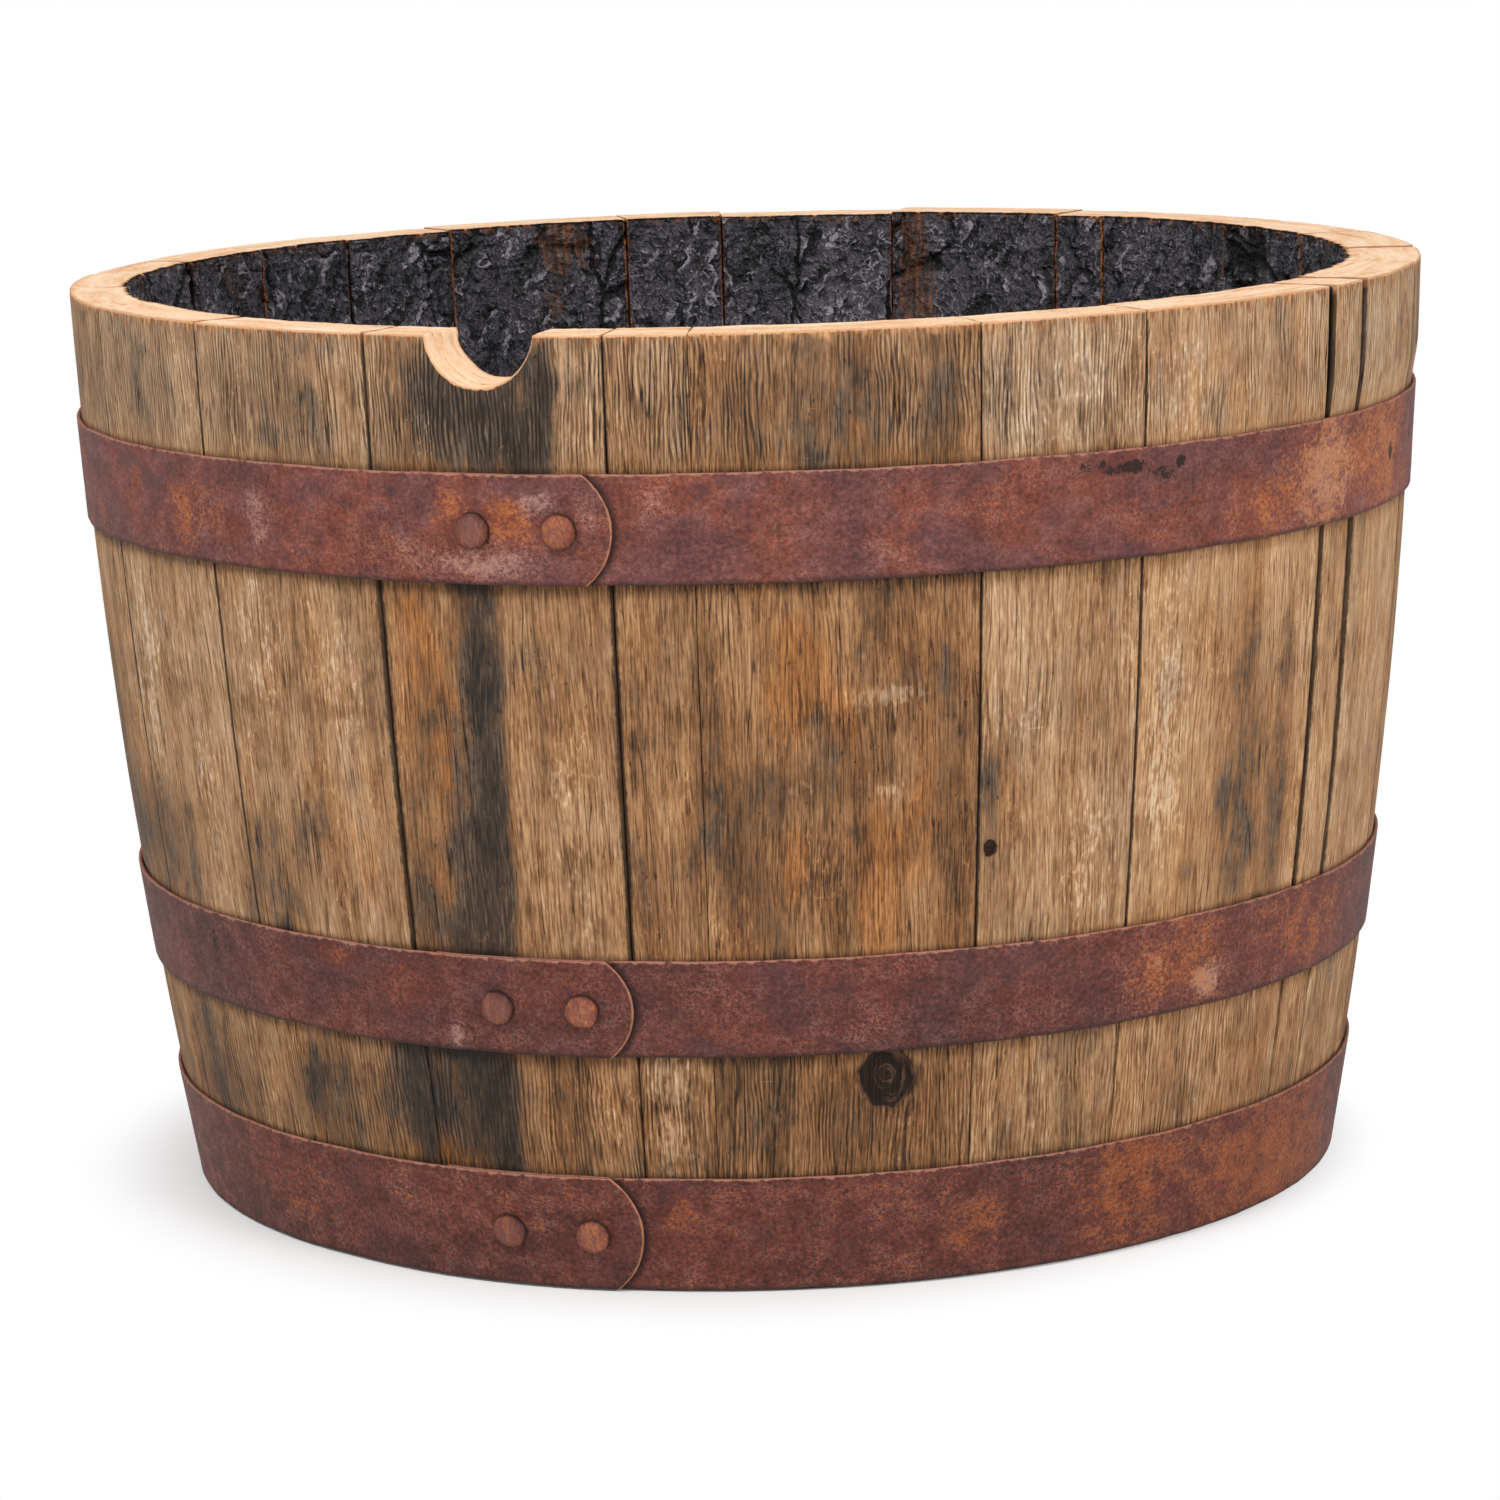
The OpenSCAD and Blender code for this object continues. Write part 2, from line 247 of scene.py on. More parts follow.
class Finish(Nodes):
    """A material's nodes round one Principled shader."""

    def __init__(self, name):
        self.material = bpy.data.materials.new(name)
        self.material.use_nodes = True
        super().__init__(self.material.node_tree)
        self.shader = self.tree.nodes["Principled BSDF"]

    def attribute(self, name):
        return self.parts(self.node("ShaderNodeAttribute", {"attribute_name": name},
                                    output="Vector"))

    def mix(self, a, b, share):
        """Colour a turning into colour b. Plain colours are given as they look."""
        a, b = (c if isinstance(c, Wire) else linear(c) for c in (a, b))
        return self.node("ShaderNodeMix", {"data_type": "RGBA"}, {0: share, 6: a, 7: b}, 2)

    def over(self, colour, *coats):
        """Lays coats over a colour, each with its share."""
        for coat, share in coats:
            colour = self.mix(colour, coat, share)
        return colour

    def ramp(self, value, stops):
        """Colour along a scale, from stops of place and colour."""
        made = self.node("ShaderNodeValToRGB", None, {0: value})
        elements = made.socket.node.color_ramp.elements
        for place, _ in stops[1:-1]:
            elements.new(place)
        for element, (place, colour) in zip(elements, stops):
            element.position, element.color = place, linear(colour)
        return made

    def finish(self, colour, rough, height=None, shine=0.5, metal=0):
        """Ends the material. The height is in metres."""
        self.fill(self.shader, {"Base Color": colour, "Roughness": rough, "Metallic": metal,
                                "Specular IOR Level": shine})
        if height:
            normal = self.node("ShaderNodeBump", None,
                               {"Height": height, "Distance": 1, "Strength": 1})
            self.fill(self.shader, {"Normal": normal})
        return self.material


def add_object(name, data):
    made = bpy.data.objects.new(name, data)
    bpy.context.scene.collection.objects.link(made)
    return made


def carried_out(piece):
    """A new mesh: the piece's own with its modifiers carried out."""
    depsgraph = bpy.context.evaluated_depsgraph_get()
    return bpy.data.meshes.new_from_object(piece.evaluated_get(depsgraph),
                                           preserve_all_data_layers=True, depsgraph=depsgraph)


class Shape(Nodes):
    """A Geometry Nodes tree with named inputs, which makes a piece from nothing."""

    KINDS = {int: "NodeSocketInt", float: "NodeSocketFloat", tuple: "NodeSocketVector"}

    def __init__(self, name, sizes):
        super().__init__(bpy.data.node_groups.new(name, "GeometryNodeTree"))
        face = self.tree.interface
        for way in ("OUTPUT", "INPUT"):
            face.new_socket("Mesh", in_out=way, socket_type="NodeSocketGeometry")
        self.sockets = {}
        for label, value in sizes.items():
            socket = face.new_socket(label, in_out="INPUT", socket_type=self.KINDS[type(value)])
            socket.default_value = value
            self.sockets[label] = socket.identifier
        socket = face.new_socket("Finish", in_out="INPUT", socket_type="NodeSocketMaterial")
        self.sockets["Finish"] = socket.identifier
        self.given = self.node("NodeGroupInput")

    def size(self, label):
        """An input of the tree."""
        return self.given.other(label)

    def place(self):
        return self.parts(self.node("GeometryNodeInputPosition"))

    def lattice(self, columns, layers, rows):
        """A box of one metre, whose corners the shape moves into place."""
        return self.node("GeometryNodeMeshCube", None,
                         {"Size": (1, 1, 1), "Vertices X": columns,
                          "Vertices Y": layers, "Vertices Z": rows})

    def move(self, mesh, position):
        return self.node("GeometryNodeSetPosition", None,
                         {"Geometry": mesh, "Position": position})

    def keep(self, mesh, name, vector):
        """Writes a vector on the mesh, for the finish to read."""
        return self.node("GeometryNodeStoreNamedAttribute",
                         {"data_type": "FLOAT_VECTOR", "domain": "POINT"},
                         {"Geometry": mesh, "Name": name, "Value": vector})

    def close(self, mesh):
        mesh = self.node("GeometryNodeSetShadeSmooth", None, {"Geometry": mesh})
        mesh = self.node("GeometryNodeRealizeInstances", None, {"Geometry": mesh})
        mesh = self.node("GeometryNodeSetMaterial", None,
                         {"Geometry": mesh, "Material": self.size("Finish")})
        end = self.tree.nodes.new("NodeGroupOutput")
        self.tree.links.new(mesh.socket, end.inputs[0])

    def make(self, name, sizes, finish, start=None):
        """The finished piece as a plain mesh in a new object."""
        piece = add_object(name, start or bpy.data.meshes.new(name))
        modifier = piece.modifiers.new("Shape", "NODES")
        modifier.node_group = self.tree
        for label, value in {**sizes, "Finish": finish}.items():
            modifier[self.sockets[label]] = value
        plain = carried_out(piece)
        piece.modifiers.remove(modifier)
        plain.name = name
        piece.data = plain
        return piece


def char_relief(m, across, along, seed):
    """Depth of the charred skin's flakes and cracks in metres, proud positive, how open the
    cracks are, and where a flake's lip curls up. The same rule shapes the mesh and shades it."""
    drift = m.ripple(across * 30, along * 24, seed, 3)
    drift_up = m.ripple(across * 30, along * 24, seed + 7, 3)
    x, y = across + drift * 0.030, along + drift_up * 0.030
    flakes = m.noise(x * 62, y * 52, seed + 3, 4, 0.6) * 9
    level = m.math("FLOOR", flakes)
    part = flakes - level
    step = level + m.smooth(part, 0, 0.12)
    lip = m.smooth(part, 0.03, 0.14) * m.smooth(part, 0.50, 0.14)
    split = m.cells(m.xyz(x * 26, y * 17, seed))
    broken = m.smooth(m.noise(x * 11, y * 9, seed + 5, 1), 0.42, 0.56)
    crack = m.smooth(split, 0.055, 0) * broken
    swell = m.ripple(across * 16, along * 9, seed + 2, 1)
    relief = (step - 4.5) * 0.0006 + lip * 0.0007 - crack * 0.0017 + swell * 0.0016
    return relief, crack, lip


# ---- Staves ----

STAVE_SIZES = {
    "Start": 0.0, "End": 1.0, "Start Gap": STAVE_GAP, "End Gap": STAVE_GAP,
    "Foot Gap": STAVE_GAP, "Inner Centre": (0.0, 0.0, 0.0),
    "Start Wear": 0.001, "End Wear": 0.001,
    "Notch Radius": 0.0, "Splay": 0.0, "Rim Step": 0.0, "Knot": (0.0, 0.0, 0.0),
    "Tone": (0.0, 0.0, 0.0), "Seed": 0.0, "Columns": 40,
}
STAVE_ROWS, STAVE_LAYERS = 216, 12
GROOVE_ROW = 18
COLUMN_WIDTH = 0.0019
NOTCH_COLUMNS = 65
FINE_EDGE = 0.0006
# Heights between which the columns gather to the notch, the loose staves stand out, the wear
# of the joints begins and ends, and the char begins
GATHERED = (0.33, 0.41)
SPLAYED = (0.374, 0.400)
WEAR_FOOT, WEAR_TOP = (0.09, 0.16), (0.395, 0.330)
CHAR_FOOT = (0.052, 0.062)


def stave_shape():
    m = Shape("Bent stave", STAVE_SIZES)
    mesh = m.lattice(m.size("Columns"), STAVE_LAYERS + 1, STAVE_ROWS + 1)
    seed = m.size("Seed")
    x, y, up = m.place()
    u, v, w = x + 0.5, y + 0.5, up + 0.5

    # Height: rows crowded to both ends outside, and rows that meet the groove inside
    outside = m.crowd(w, 0.5) * HEIGHT
    row = w * STAVE_ROWS
    rest = m.line(row, GROOVE_ROW + 4, STAVE_ROWS)
    low, high = CROZE_HEIGHT - CROZE_GAP / 2, CROZE_HEIGHT + CROZE_GAP / 2
    inside = (m.line(row, 0, GROOVE_ROW, 0, low)
              + m.line(row, GROOVE_ROW + 1, GROOVE_ROW + 3, 0, CROZE_GAP)
              + (rest + m.sine(rest * math.pi) * 0.6 / math.pi) * (HEIGHT - high))
    z = m.blend(outside, inside, v)
    in_groove = m.smooth(abs(row - (GROOVE_ROW + 2)), 1.6, 1.4)

    # The wall's two faces at that height
    outer = OUTER_CENTRE[0] + m.root(STAVE_BEND ** 2 - (z - OUTER_CENTRE[1]) ** 2)
    centre_r, centre_z, _ = m.parts(m.size("Inner Centre"))
    hollow = centre_r + m.root(STAVE_BEND ** 2 - (z - centre_z) ** 2)
    howel = HOWEL_CENTRE[0] + m.root(HOWEL_BEND ** 2 - (z - HOWEL_CENTRE[1]) ** 2)
    bevel = BASE_RADIUS - CHIME_WALL + BEVEL_WIDTH - z * (BEVEL_WIDTH / BEVEL_HEIGHT)
    inner = m.high(m.high(hollow, howel), bevel)
    inner = m.blend(inner, CROZE_RADIUS, in_groove)
    wall = outer - inner

    # Across: columns crowded to the joints, and to the notch's edge near the rim
    rise = z / HEIGHT
    start_gap = m.blend(m.size("Foot Gap"), m.size("Start Gap"), rise)
    end_gap = m.blend(m.size("Foot Gap"), m.size("End Gap"), rise)
    sweep = (m.size("End") - m.size("Start")) * outer
    half = (sweep - (start_gap + end_gap) / 2) / 2
    shift = (start_gap - end_gap) / 4
    spaced = m.crowd(u, 0.6) * 2 - 1
    notch = m.size("Notch Radius")
    edge_turn = math.acos(BUNG_RISE / BUNG_RADIUS)
    side = m.math("SIGN", x)
    far = m.line(abs(x), 0.25, 0.5)
    far = far + m.sine(far * math.pi) * 0.5 / math.pi
    curve = m.sine(m.line(abs(x), 0, 0.25, 0, edge_turn)) * notch
    gathered = side * m.blend(curve, half, far)
    near_rim = m.smooth(z, *GATHERED) * m.smooth(notch, 0, 0.001)
    s = m.blend(spaced * half, gathered, near_rim)
    t = m.crowd(v, 0.5) * wall

    # Worn edges: wide outside along the joints, less so near the foot and the rim
    wander = m.noise(z * 45, side * 2, seed, 3) + 0.5
    edge_band = m.blend(m.size("Start Wear"), m.size("End Wear"), m.smooth(s, half * -1, half))
    edge_band = edge_band * wander * m.blend(0.45, 1, m.smooth(z, *WEAR_TOP) * m.smooth(z, *WEAR_FOOT))
    edge_band = m.blend(edge_band, FINE_EDGE, m.smooth(t, 0.006, 0.016))
    fine = wander * FINE_EDGE
    hold_s = m.clip(s, edge_band - half, half - edge_band)
    hold_t = m.clip(t, edge_band, wall - edge_band)
    hold_z = m.clip(z, fine, HEIGHT - fine)
    off_s, off_t, off_z = (s - hold_s) / edge_band, (t - hold_t) / edge_band, (z - hold_z) / fine
    reach = 1 / m.high(m.root(off_s * off_s + off_t * off_t + off_z * off_z), 1)
    s, t = hold_s + off_s * reach * edge_band, hold_t + off_t * reach * edge_band
    z = hold_z + off_z * reach * fine

    # The sawn bung hole, a cone across the wall above the rim
    cone = m.high(notch - t * BUNG_TAPER, 0)
    top = m.low(HEIGHT + BUNG_RISE - m.root(cone * cone - s * s), HEIGHT)
    squeeze = m.line(z, GATHERED[0], HEIGHT)
    z = z - (HEIGHT - top) * squeeze
    cut = top - z

    # Unevenness outside, a knot, char inside, and the saw's steps on top
    skin = m.smooth(t, 0.004, 0)
    sway = m.ripple(s * 16, z * 4, seed)
    grain = m.ripple(s * 130, z * 9, seed + 4)
    knot_s, knot_z, knot_r = m.parts(m.size("Knot"))
    knot_s, knot_z = (s - knot_s) / knot_r, (z - knot_z) / (knot_r * 1.15)
    gnarled = m.ripple(s * 150, z * 150, seed + 8)
    knot = m.root(knot_s * knot_s + knot_z * knot_z) + grain * 0.2 + gnarled * 0.5
    dent = m.smooth(knot, 1, 0.75) * 0.0022 - m.smooth(abs(knot - 1.15), 0.25, 0) * 0.0008
    outward = skin * (sway * 0.0016 + grain * 0.0007 - dent)
    outward = outward + m.size("Splay") * m.smooth(z, *SPLAYED)
    relief, _, _ = char_relief(m, s, z, seed)
    seam = m.smooth(abs(s), half - 0.003, half)
    burnt = m.smooth(t, wall - 0.006, wall - 0.001)
    outward = outward - burnt * (relief - seam * 0.001) * m.smooth(z, *CHAR_FOOT)
    saw = m.ripple(s * 40, t * 60, seed, 3)
    lift = m.smooth(cut, 0.004, 0) * (saw * 0.0010 + m.size("Rim Step"))
    radius = outer - t + outward
    turn = (m.size("Start") + m.size("End")) / 2 + (s + shift) / outer

    mesh = m.keep(mesh, "place", m.xyz(s, t, z))
    mesh = m.keep(mesh, "edges", m.xyz((half - abs(s)) / edge_band, wall - t, cut))
    mesh = m.keep(mesh, "tone", m.size("Tone"))
    mesh = m.keep(mesh, "marks", m.xyz(seed, knot, edge_band))
    mesh = m.move(mesh, m.around(turn, radius, z + lift))
    m.close(mesh)
    return m


# ---- Hoops ----

HOOP_SIZES = {
    "Foot": 0.1, "Width": 0.05, "Radius": 0.3, "Lean": 0.1, "Tail": 0.0, "Tip": 0.1,
    "Step": 0.0, "Lap Middle": 0.0, "Lap Offset": 0.0, "Lap Bend": 0.3, "Seed": 0.0,
    "Tone": (0.0, 0.0, 0.0),
}
HOOP_COLUMNS, HOOP_LAYERS, HOOP_ROWS = 960, 4, 26


def hoop_shape():
    m = Shape("Riveted hoop", HOOP_SIZES)
    mesh = m.lattice(HOOP_COLUMNS + 1, HOOP_LAYERS + 1, HOOP_ROWS + 1)
    seed, width, radius = m.size("Seed"), m.size("Width"), m.size("Radius")
    x, y, up = m.place()
    u, v, w = x + 0.5, 0.5 - y, up + 0.5

    rise = (m.crowd(w, 0.75) - 0.5) * width
    tip = width * TIP_ROUND
    tip_back = (tip - m.root(tip * tip - rise * rise)) / radius
    turn = m.blend(m.size("Tail"), m.size("Tip") + math.tau, u)
    near_tip = m.smooth(turn, m.size("Tip") + math.tau - 0.12, m.size("Tip") + math.tau)
    ragged = m.ripple(rise * 90, seed, 0) * 0.004
    turn = turn - near_tip * (tip_back + ragged)
    along = turn * radius

    # The strip's inner face: the hoop's own circle, then the lap's outer layer
    lap = turn - math.tau - m.size("Lap Middle")
    offset, bend = m.size("Lap Offset"), m.size("Lap Bend")
    climb = offset * m.cosine(lap) + m.root(bend * bend - (offset * m.sine(lap)) ** 2)
    lapped = m.math("GREATER_THAN", turn, m.size("Step"))
    seat = m.blend(radius, climb, lapped)

    # A strip with soft edges, slightly wavy
    thick = STRIP_THICKNESS
    depth = m.crowd(v, 0.4) * thick
    edge = 0.0005
    half = width / 2
    hold_rise = m.clip(rise, edge - half, half - edge)
    hold_depth = m.clip(depth, edge, thick - edge)
    off_rise, off_depth = rise - hold_rise, depth - hold_depth
    reach = edge / m.high(m.root(off_rise * off_rise + off_depth * off_depth), 0.00001)
    reach = m.low(reach, 1)
    rise, depth = hold_rise + off_rise * reach, hold_depth + off_depth * reach
    beaten = m.ripple(m.cosine(turn) * 5, m.sine(turn) * 5, seed + rise * 12, 3)
    rim = m.smooth(abs(rise), half - 0.006, half)
    wander = m.ripple(m.cosine(turn) * 9, m.sine(turn) * 9, seed + m.math("SIGN", rise), 3)
    wander = wander * 0.0016 * rim
    pits = m.ripple(along * 160, rise * 160, seed)
    outward = beaten * 0.0007 + m.smooth(depth, 0, thick) * pits * 0.00035
    out = seat + depth + (rise + wander) * m.size("Lean") + outward
    z = m.size("Foot") + half + rise + wander

    mesh = m.keep(mesh, "place", m.xyz(along, depth, rise))
    beyond = (turn - m.size("Tip") + tip_back) * radius
    mesh = m.keep(mesh, "edges", m.xyz(half - abs(rise), math.tau * radius - beyond, beyond))
    mesh = m.keep(mesh, "marks", m.xyz(seed, 0, 0))
    mesh = m.keep(mesh, "tone", m.size("Tone"))
    mesh = m.move(mesh, m.around(turn, out, z))
    m.close(mesh)
    return m


def hoop_facts(name):
    """A hoop's radius, lean and lap, worked out as the part's source does."""
    foot, width, lap = HOOPS[name]
    stand = HOOP_FIT + width ** 2 / (8 * STAVE_BEND)
    low, high = (bend_radius(OUTER_CENTRE, z) + stand for z in (foot, foot + width))
    lean = (high - low) / width
    radius = (low + high) / 2
    tip = math.radians(lap - 90)
    rivets = [tip - (TIP_MARGIN + i * RIVET_PITCH) / radius for i in (0, 1)]
    tail = rivets[1] - TAIL_MARGIN / radius
    lifted = radius + STRIP_THICKNESS / math.cos(math.atan(lean)) + LAP_FIT
    half, middle = (tip - tail) / 2, (tip + tail) / 2
    reach = half + STEP_LENGTH / radius
    offset = ((lifted ** 2 - radius ** 2)
              / (lifted * math.cos(half) - radius * math.cos(reach)) / 2)
    bend = math.sqrt(radius ** 2 + offset ** 2 - 2 * radius * offset * math.cos(reach))
    return {"Foot": foot, "Width": width, "Radius": radius, "Lean": lean, "Tail": tail,
            "Tip": tip, "Step": middle - reach + math.tau, "Lap Middle": middle,
            "Lap Offset": offset, "Lap Bend": bend}, rivets


# ---- Rivets ----

RIVET_SIZES = {"Head": RIVET_HEAD / 2, "Rise": RIVET_RISE, "Seed": 0.0}


def rivet_shape():
    """Hammered heads, one standing on each point of the piece it starts from."""
    m = Shape("Hammered rivets", RIVET_SIZES)
    seed = m.size("Seed")
    head = m.node("GeometryNodeMeshUVSphere", None, {"Segments": 72, "Rings": 48, "Radius": 1})
    x, y, z = m.place()
    widen = m.smooth(m.root(x * x + y * y), 0, 0.72) * 0.16 + 1
    beaten = m.ripple(x * 1.3, y * 1.3, z + seed)
    fine = m.ripple(x * 5, y * 5, z * 5 + seed, 3)
    size = m.size("Head") * widen * (beaten * 0.22 + fine * 0.05 + 0.98)
    height = m.high(z, 0) ** 0.62 * m.size("Rise") * (beaten * 0.5 + fine * 0.10 + 1.32)
    height = height + m.low(z, 0) * 0.0012
    unit = RIVET_HEAD / 2
    head = m.keep(head, "place", m.xyz(x * unit, y * unit, z * unit))
    head = m.move(head, m.xyz(x * size, y * size, height))
    spin = m.node("FunctionNodeRandomValue", {"data_type": "FLOAT"},
                  {"Min": 0, "Max": 6, "Seed": 5}, 1)
    turned = m.node("GeometryNodeInputNamedAttribute", {"data_type": "FLOAT_VECTOR"},
                    {"Name": "stand"})
    rotation = m.node("FunctionNodeAlignEulerToVector", {"axis": "Z"}, {"Vector": turned})
    rotation = m.node("FunctionNodeRotateEuler",
                      {"rotation_type": "AXIS_ANGLE", "space": "LOCAL"},
                      {"Rotation": rotation, "Axis": (0, 0, 1), "Angle": spin})
    made = m.node("GeometryNodeInstanceOnPoints", None,
                  {"Points": m.given, "Instance": head, "Rotation": rotation})
    m.close(made)
    return m


# ---- Head boards ----

def board_shape():
    """Burns the upper side of a plain board and roughens the lower one."""
    m = Shape("Charred board", {"Seed": 0.0})
    seed = m.size("Seed")
    x, y, z = m.place()
    c, s = math.cos(HEAD_TURN), math.sin(HEAD_TURN)
    across, along = x * c + y * s, y * c - x * s
    upper = m.smooth(z, CROZE_HEIGHT + 0.003, CROZE_HEIGHT + 0.007)
    lower = m.smooth(z, CROZE_HEIGHT - 0.003, CROZE_HEIGHT - 0.007)
    relief, _, _ = char_relief(m, across, along, seed)
    grain = m.ripple(across * 90, along * 7, seed)
    lift = upper * (relief - 0.001) + lower * grain * -0.0006
    mesh = m.keep(m.given, "place", m.xyz(across, z, along))
    mesh = m.keep(mesh, "marks", m.xyz(seed, upper, lower))
    mesh = m.move(mesh, m.xyz(x, y, z + lift))
    m.close(mesh)
    return m


# ---- Finishes ----

# Colours along a scale from dark to pale, as they look on a screen, 0 to 255
TAN_OAK = ((0, (44, 30, 20)), (0.2, (88, 61, 39)), (0.4, (129, 92, 60)), (0.55, (156, 116, 79)),
           (0.78, (190, 150, 110)), (1, (220, 185, 146)))
SILVER_OAK = ((0, (42, 36, 31)), (0.2, (76, 63, 52)), (0.5, (138, 116, 95)),
              (0.8, (190, 164, 139)), (1, (220, 198, 174)))
ORANGE_OAK = ((0, (48, 29, 16)), (0.25, (106, 66, 35)), (0.5, (156, 100, 54)),
              (0.8, (198, 140, 86)), (1, (226, 178, 126)))
SAWN_OAK = ((0.05, (196, 132, 84)), (0.32, (232, 182, 138)), (0.55, (246, 206, 168)),
            (0.95, (252, 228, 200)))
CHAR = ((0, (22, 19, 22)), (0.35, (50, 47, 52)), (0.65, (80, 76, 83)), (1, (122, 118, 126)))
BARK = ((0.2, (44, 33, 30)), (0.5, (84, 58, 44)), (0.8, (134, 84, 52)))
MAUVE_RUST = ((0, (56, 31, 31)), (0.3, (92, 53, 50)), (0.55, (118, 70, 65)),
              (0.8, (144, 92, 84)), (1, (174, 126, 114)))
BROWN_RUST = ((0, (60, 27, 19)), (0.3, (102, 48, 33)), (0.55, (134, 66, 44)),
              (0.8, (160, 86, 54)), (1, (188, 116, 78)))
ORANGE_RUST = ((0.1, (102, 47, 22)), (0.5, (148, 77, 38)), (0.9, (192, 114, 60)))
DOWEL_WOOD = ((0.3, (170, 126, 80)), (0.7, (222, 184, 134)))
# Heights between which the wood lies bare to the rain above the hoops, is opened by it below
# the middle hoop, and darkens towards the floor
BARE_TOP, BARE_FOOT, DARKER_FOOT = (0.374, 0.390), (0.116, 0.108), (0.125, 0.095)


def weathered_oak(m, across, along, seed, light, grey, soot, amber, pale):
    """Colour, height and darkness of a stave's outside, from hair lines to weathering."""
    sway = m.ripple(across * 22, along * 7, seed)
    x = across + sway * 0.008
    hair = m.ripple(x * 1000, along * 95, seed, 2, 0.6)
    strand = m.ripple(x * 300, along * 26, seed + 3, 3, 0.6)
    line = m.ripple(x * 420, along * 15, seed + 14, 1)
    line = m.smooth(abs(line + hair * 0.12), 0.055, 0)
    thin = m.ripple(x * 700, along * 34, seed + 2, 1)
    thin = m.smooth(abs(thin + hair * 0.10), 0.060, 0)
    band = m.ripple(x * 64, along * 8, seed + 5)
    cloud = m.ripple(across * 20, along * 13, seed + 8, 4, 0.62)
    patch = m.ripple(across * 62, along * 40, seed + 15, 4, 0.65)
    tint = m.ripple(x * 46, along * 16, seed + 11, 4, 0.62)
    speck = m.ripple(x * 480, along * 220, seed + 6, 1)
    streaks = strand * 0.9 + hair * 0.45

    uneven = streaks * 2.4 + patch * 2.6 + cloud * 1.2 + 1
    dark = m.smooth(soot * uneven, 0.10, 1)
    blot = m.smooth(streaks * 0.5 + cloud * 0.8 + patch * 0.9 - band * 0.3, 0, 0.22)
    warm = m.smooth(amber + streaks * 1.3 + band * 1.2 + tint * 1.2, 0.30, 0.80)
    chalk = m.smooth(pale + speck * 1.5 + streaks * 0.9 + patch * 1.2, 0.34, 0.88)
    value = (0.60 + light + hair * 0.84 + strand * 0.62 + speck * 0.18 + band * 0.55
             + cloud * 0.65 + patch * 0.62 - line * 0.18 - thin * 0.11 - blot * 0.24)
    sooty = value * 0.42 + hair * 0.50 + strand * 0.42 - 0.02
    value = m.blend(value, sooty, dark) + chalk * 0.22 - warm * 0.02
    value = value - m.smooth(soot * uneven, 1.05, 1.5) * 0.10
    # Darker towards the foot of the staves
    value = value - m.smooth(along + band * 0.03, *DARKER_FOOT) * 0.09

    # Above the upper hoop and below the middle one the rain has opened the grain
    upper = m.smooth(along, *BARE_TOP)
    rained = m.high(m.high(upper, m.smooth(along, *BARE_FOOT) * 0.75), 0.25)
    wave = m.ripple(across * 90, along * 42, seed + 1)
    spread = m.ripple(x * 70, along * 16, seed + 7)
    groove = m.sine((x + wave * 0.0036) * 3100 + spread * 26 + hair * 1.6)
    groove = m.smooth(groove, 0.10, 0.90) * m.smooth(spread + band + strand, -0.14, 0.12)
    value = value + rained * (strand * 0.20 + wave * 0.20 - groove * 0.27 + 0.05)
    # Darker bands below each hoop's lower edge and above its upper edge: painted shade of the hoop,
    # with grime
    for foot, width, _ in HOOPS.values():
        below = m.smooth(along, foot - 0.008, foot - 0.0005) * m.smooth(along, foot + 0.02, foot)
        above = m.smooth(along, foot + width + 0.0035, foot + width) * m.smooth(
            along, foot + width - 0.02, foot + width)
        value = value - (below * 0.20 + above * 0.12) * (1 + band * 2)

    pit = m.smooth(speck + cloud * 0.3, 0.20, 0.25)
    check = m.ripple(x * 170, along * 7.5, seed + 9, 1)
    check = m.smooth(abs(check), 0.020, 0.004) * m.smooth(cloud + band, 0.05, 0.14)
    thread = m.ripple(x * 330, along * 70, seed + 4, 1)
    thread = m.smooth(abs(thread), 0.026, 0.006) * m.smooth(tint - cloud, 0.06, 0.16)
    scrape = m.ripple(x * 36, along * 560, seed + 12, 1)
    scrape = m.smooth(scrape, 0.22, 0.28) * m.smooth(cloud - tint * 0.5, 0.06, 0.16)
    value = value - pit * 0.20 - check * 0.26 + thread * 0.20 + scrape * 0.20

    orange = m.clip(warm * 0.75 + tint * 1.4 - grey * 0.30 + 0.05, 0, 0.85)
    colour = m.mix(m.ramp(value, TAN_OAK), m.ramp(value, ORANGE_OAK), orange)
    aged = (m.smooth(soot * uneven, 0.40, 1.1) * 0.8 + blot * 0.30
            + chalk * 0.35 + (grey + upper) * 0.30 - tint * 0.9)
    colour = m.mix(colour, m.ramp(value, SILVER_OAK), m.clip(aged, 0, 0.92))
    height = (hair * 0.0005 + strand * 0.0006 - line * 0.00016 - thin * 0.0001 + speck * 0.0002
              - check * 0.0006 - pit * 0.0002 + thread * 0.0001
              - rained * groove * 0.0006)
    return colour, height, dark


def fresh_oak(m, across, through, along, seed):
    """Colour and height of the sawn rim and the bored notch."""
    drift = m.ripple(across * 18, through * 40, seed)
    ring = m.noise(across * 22, through * 240 + drift * 5, seed + along * 60, 3)
    pore = m.noise(across * 420, through * 520, seed + along * 300, 2, 0.65)
    tone = m.noise(across * 30, through * 60, seed + 4 + along * 20)
    value = 0.56 + (ring - 0.5) * 1.1 + (pore - 0.5) * 0.7 + (tone - 0.5) * 0.6
    colour = m.ramp(value, SAWN_OAK)
    fleck = m.smooth(pore + (tone - 0.5) * 0.3, 0.30, 0.24)
    colour = m.mix(colour, (178, 112, 66), fleck * 0.7)
    return colour, (pore - 0.5) * 0.0004 + (ring - 0.5) * 0.0006 - fleck * 0.0003


